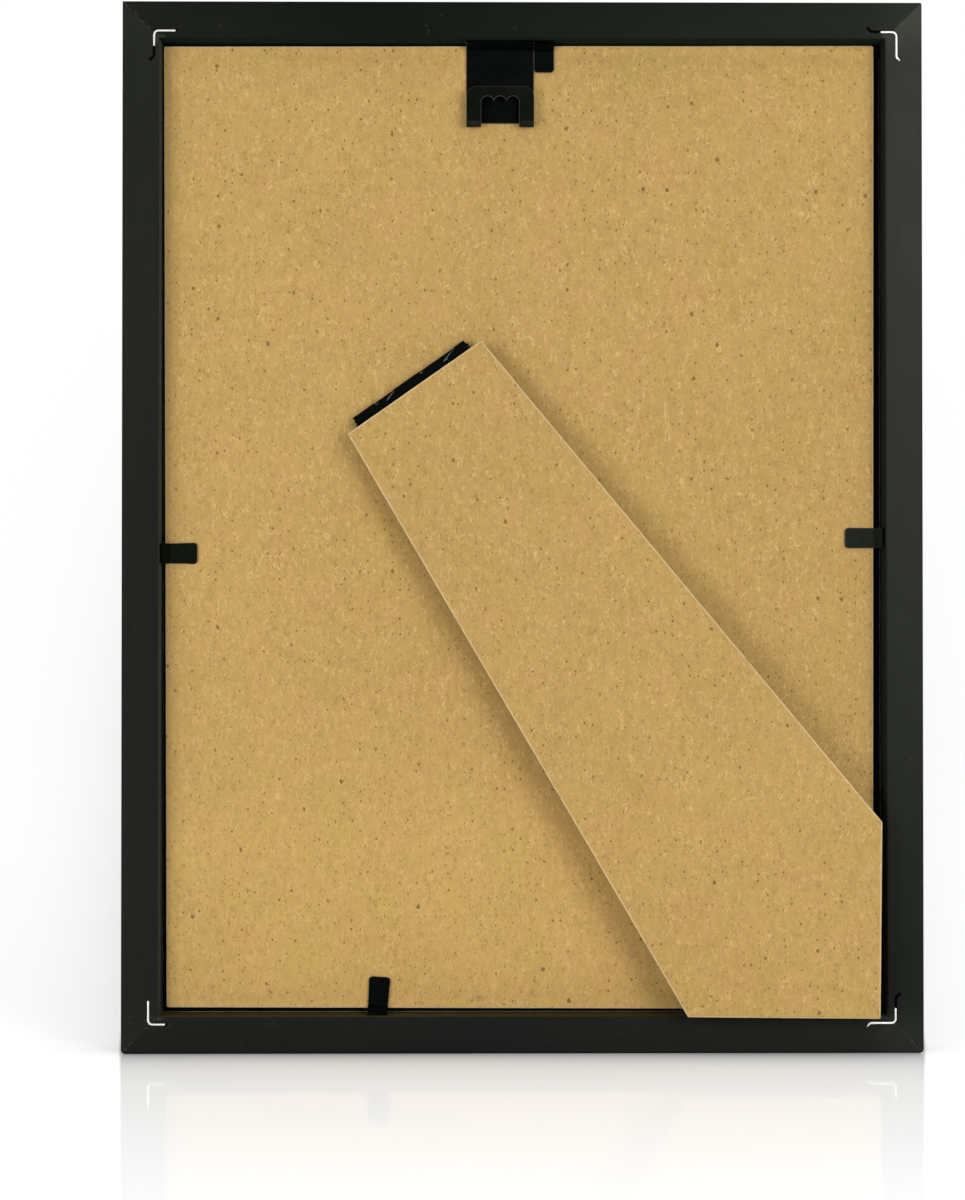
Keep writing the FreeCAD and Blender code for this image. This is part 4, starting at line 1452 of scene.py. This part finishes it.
# %% Geometry tree: turn tab
tab_tree, given = start_tree(
    "turn tab",
    {
        "Reach": 9.0, "Width": 5.0, "Flare": 0.06, "Tip Round": 1.0, "Bend Radius": 0.8, "Sag": 0.0,
        "Finish": black_steel,
    },
)
half_tab = given["Width"] / 2.0
across = {"Start": vector(0.0, -half_tab), "End": vector(0.0, half_tab)}
across = add(tab_tree, "GeometryNodeCurvePrimitiveLine", across)
across = add(tab_tree, "GeometryNodeResampleCurve", {0: across, "Count": 13})
ribbon = sweep(bent_path(given["Geometry"], given["Bend Radius"], 0.12), across)
x, _, z = add(tab_tree, "GeometryNodeInputPosition").split()
share = x / given["Reach"]
flare = maths("POWER", most(share, 0.0), 2.0) * given["Flare"] + 1.0
radius = given["Tip Round"]
into_tip = least(most(x - (given["Reach"] - radius), 0.0), radius)
fall = radius - maths("SQRT", most(radius * radius - into_tip * into_tip, 0.0))
widen = z * (flare * ((half_tab - fall) / half_tab) - 1.0)
sag = maths("SINE", share * math.pi) * given["Sag"]
end_tree(tab_tree, given, moved(ribbon, vector(0.0, sag, widen)))

# %% Turn tabs
strip_wall_y, strip_flat_y, bend_from_wall, axis_from_wall = 5.05, 2.1, 2.1, 0.6
tab_thickness = 0.5
wall_x, wall_z = half_width - rail_back_width, outer_height - rail_back_width
TABS = {  # place on the wall, direction away from the wall, reach, lean, flare, sag, finish
    # The left tab's paler steel is painted light.
    "left_tab": ((-wall_x, 127.8), 90.0, 9.5, 0.0, 0.03, 0.05, rubbed_and_lit_steel),
    "right_tab": ((wall_x, 123.9), -90.0, 9.1, 0.0, 0.09, 0.04, worn_steel),
    "top_tab": ((-5.43, wall_z), 180.0, 7.4, 0.0, 0.03, 0.03, black_steel),
    "bottom_tab": ((36.1, rail_back_width), 0.0, 9.2, -3.5, 0.10, 0.05, black_steel),
}
stand = Matrix.Rotation(math.radians(-90), 4, "Y")
for node, ((x, z), angle, reach, lean, flare_by, sag_by, coat) in TABS.items():
    bends = ((axis_from_wall, strip_wall_y), (bend_from_wall, strip_flat_y), (reach, strip_flat_y))
    run = [(away, height, 0.0) for away, height in bends]
    tab = mesh_object("turned_" + node, from_points(node, run, edges=[(0, 1), (1, 2)]))
    grow(tab, tab_tree, Reach=reach, Flare=flare_by, Sag=sag_by, Finish=coat)
    tab.data.materials.append(bare_edge_and_glint)
    thicken(tab, tab_thickness, 1)
    for face in tab.data.polygons:
        if face.center.x < bend_from_wall:
            face.material_index = 0
    onto = Matrix.Translation((x, 0.0, z)) @ Matrix.Rotation(math.radians(angle + lean), 4, "Y")
    tab.data.transform(onto @ stand)
    finish(tidy(tab), node + "_blade", "black_steel", node)

# %% [markdown]
# ## Hanger
#
# The hanger is stamped steel, folded up on itself, with a toothed bar for the nail in the wall. The measured
# solid already has its folds, its window and its teeth, so a copy of it is merged, cleaned of its triangles
# and given eased edges. Faces that the punch cut, and not the sheet's own skin, get the rubbed edge finish.

# %% Hanger
fold_top_z, fold_round, bar_top_z = 233.2, 1.4, 240.6
window_y, bar_back_y = 4.1, 4.7
hanger_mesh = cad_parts["sawtooth_hanger"].data.copy()
hanger_mesh.transform(Matrix.Scale(1 / MM, 4))
hanger_mesh.materials.clear()
hanger = mesh_object("folded_hanger", hanger_mesh, black_steel, bare_edge_and_glint, rubbed_and_lit_steel, worn_steel)
with opened(hanger_mesh) as bm:
    bmesh.ops.remove_doubles(bm, verts=bm.verts, dist=0.002)
    bmesh.ops.dissolve_limit(bm, angle_limit=math.radians(1.0), verts=bm.verts, edges=bm.edges)
    bmesh.ops.recalc_face_normals(bm, faces=bm.faces)
    for face in bm.faces:
        at, normal = face.calc_center_median(), face.normal
        side_cut = abs(normal.x) > 0.3
        bar_cut = abs(normal.y) < 0.15 and at.y > window_y and fold_top_z < at.z < bar_top_z
        on_fold = at.z < fold_top_z - fold_round and normal.y > 0.1
        on_bar = at.y > bar_back_y and normal.y > 0.5 and at.z < bar_top_z
        face.material_index = 1 if side_cut or bar_cut else 2 if on_fold else 3 if on_bar else 0
finish(settle(ease_edges(hanger, 0.10, 1)), "hanger", "black_steel", "sawtooth_hanger")

# %% [markdown]
# ## Glass and insert
#
# The glass is a plain pane with ground edges, the insert a sheet of card behind it. Both are plates like the
# board, only crisper. What is left of the measured model are the strips' ends inside the wood. They keep
# their shapes and get the painted steel.

# %% Glass, insert and the strips' driven ends
def sheet_like(name, node, rim, waver, *materials):
    """A crisp plate as large as a measured node."""
    low, high = box_mm(node)
    corners = [(low.x, low.z), (high.x, low.z), (high.x, high.z), (low.x, high.z)]
    drawn = plate_mesh(node, corners, low.y, high.y, rim, waver, radius=0.3, step=6.0)
    return mesh_object(name, drawn, *materials)


pane = sheet_like("pane_of_glass", "glass_pane", 0.25, 0.004, glass, glass)
finish(tidy(pane), "frame", "clear_glass", "glass_pane")
# The card's back, seen through the gap beside the board, is painted dark as shade.
insert = sheet_like("insert_of_card", "photo_insert", 0.04, 0.01, shaded_card_back, card)
insert.data.polygons[1].material_index = 1
finish(tidy(insert), "frame", "photo_card", "photo_insert")

for node in DRIVEN_ENDS:
    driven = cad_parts[node]
    driven.data.materials.clear()
    driven.data.materials.append(black_steel)
print("Driven ends keep their measured shapes:", len(DRIVEN_ENDS))

# %% [markdown]
# ## Size
#
# The box of the dressed frame is printed in millimetres. The dressed frame may not be
# larger than the measured one.

# %% Boxes and finish
low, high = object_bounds()
print("Dressed box in mm:", [round(side / MM, 2) for side in high - low])
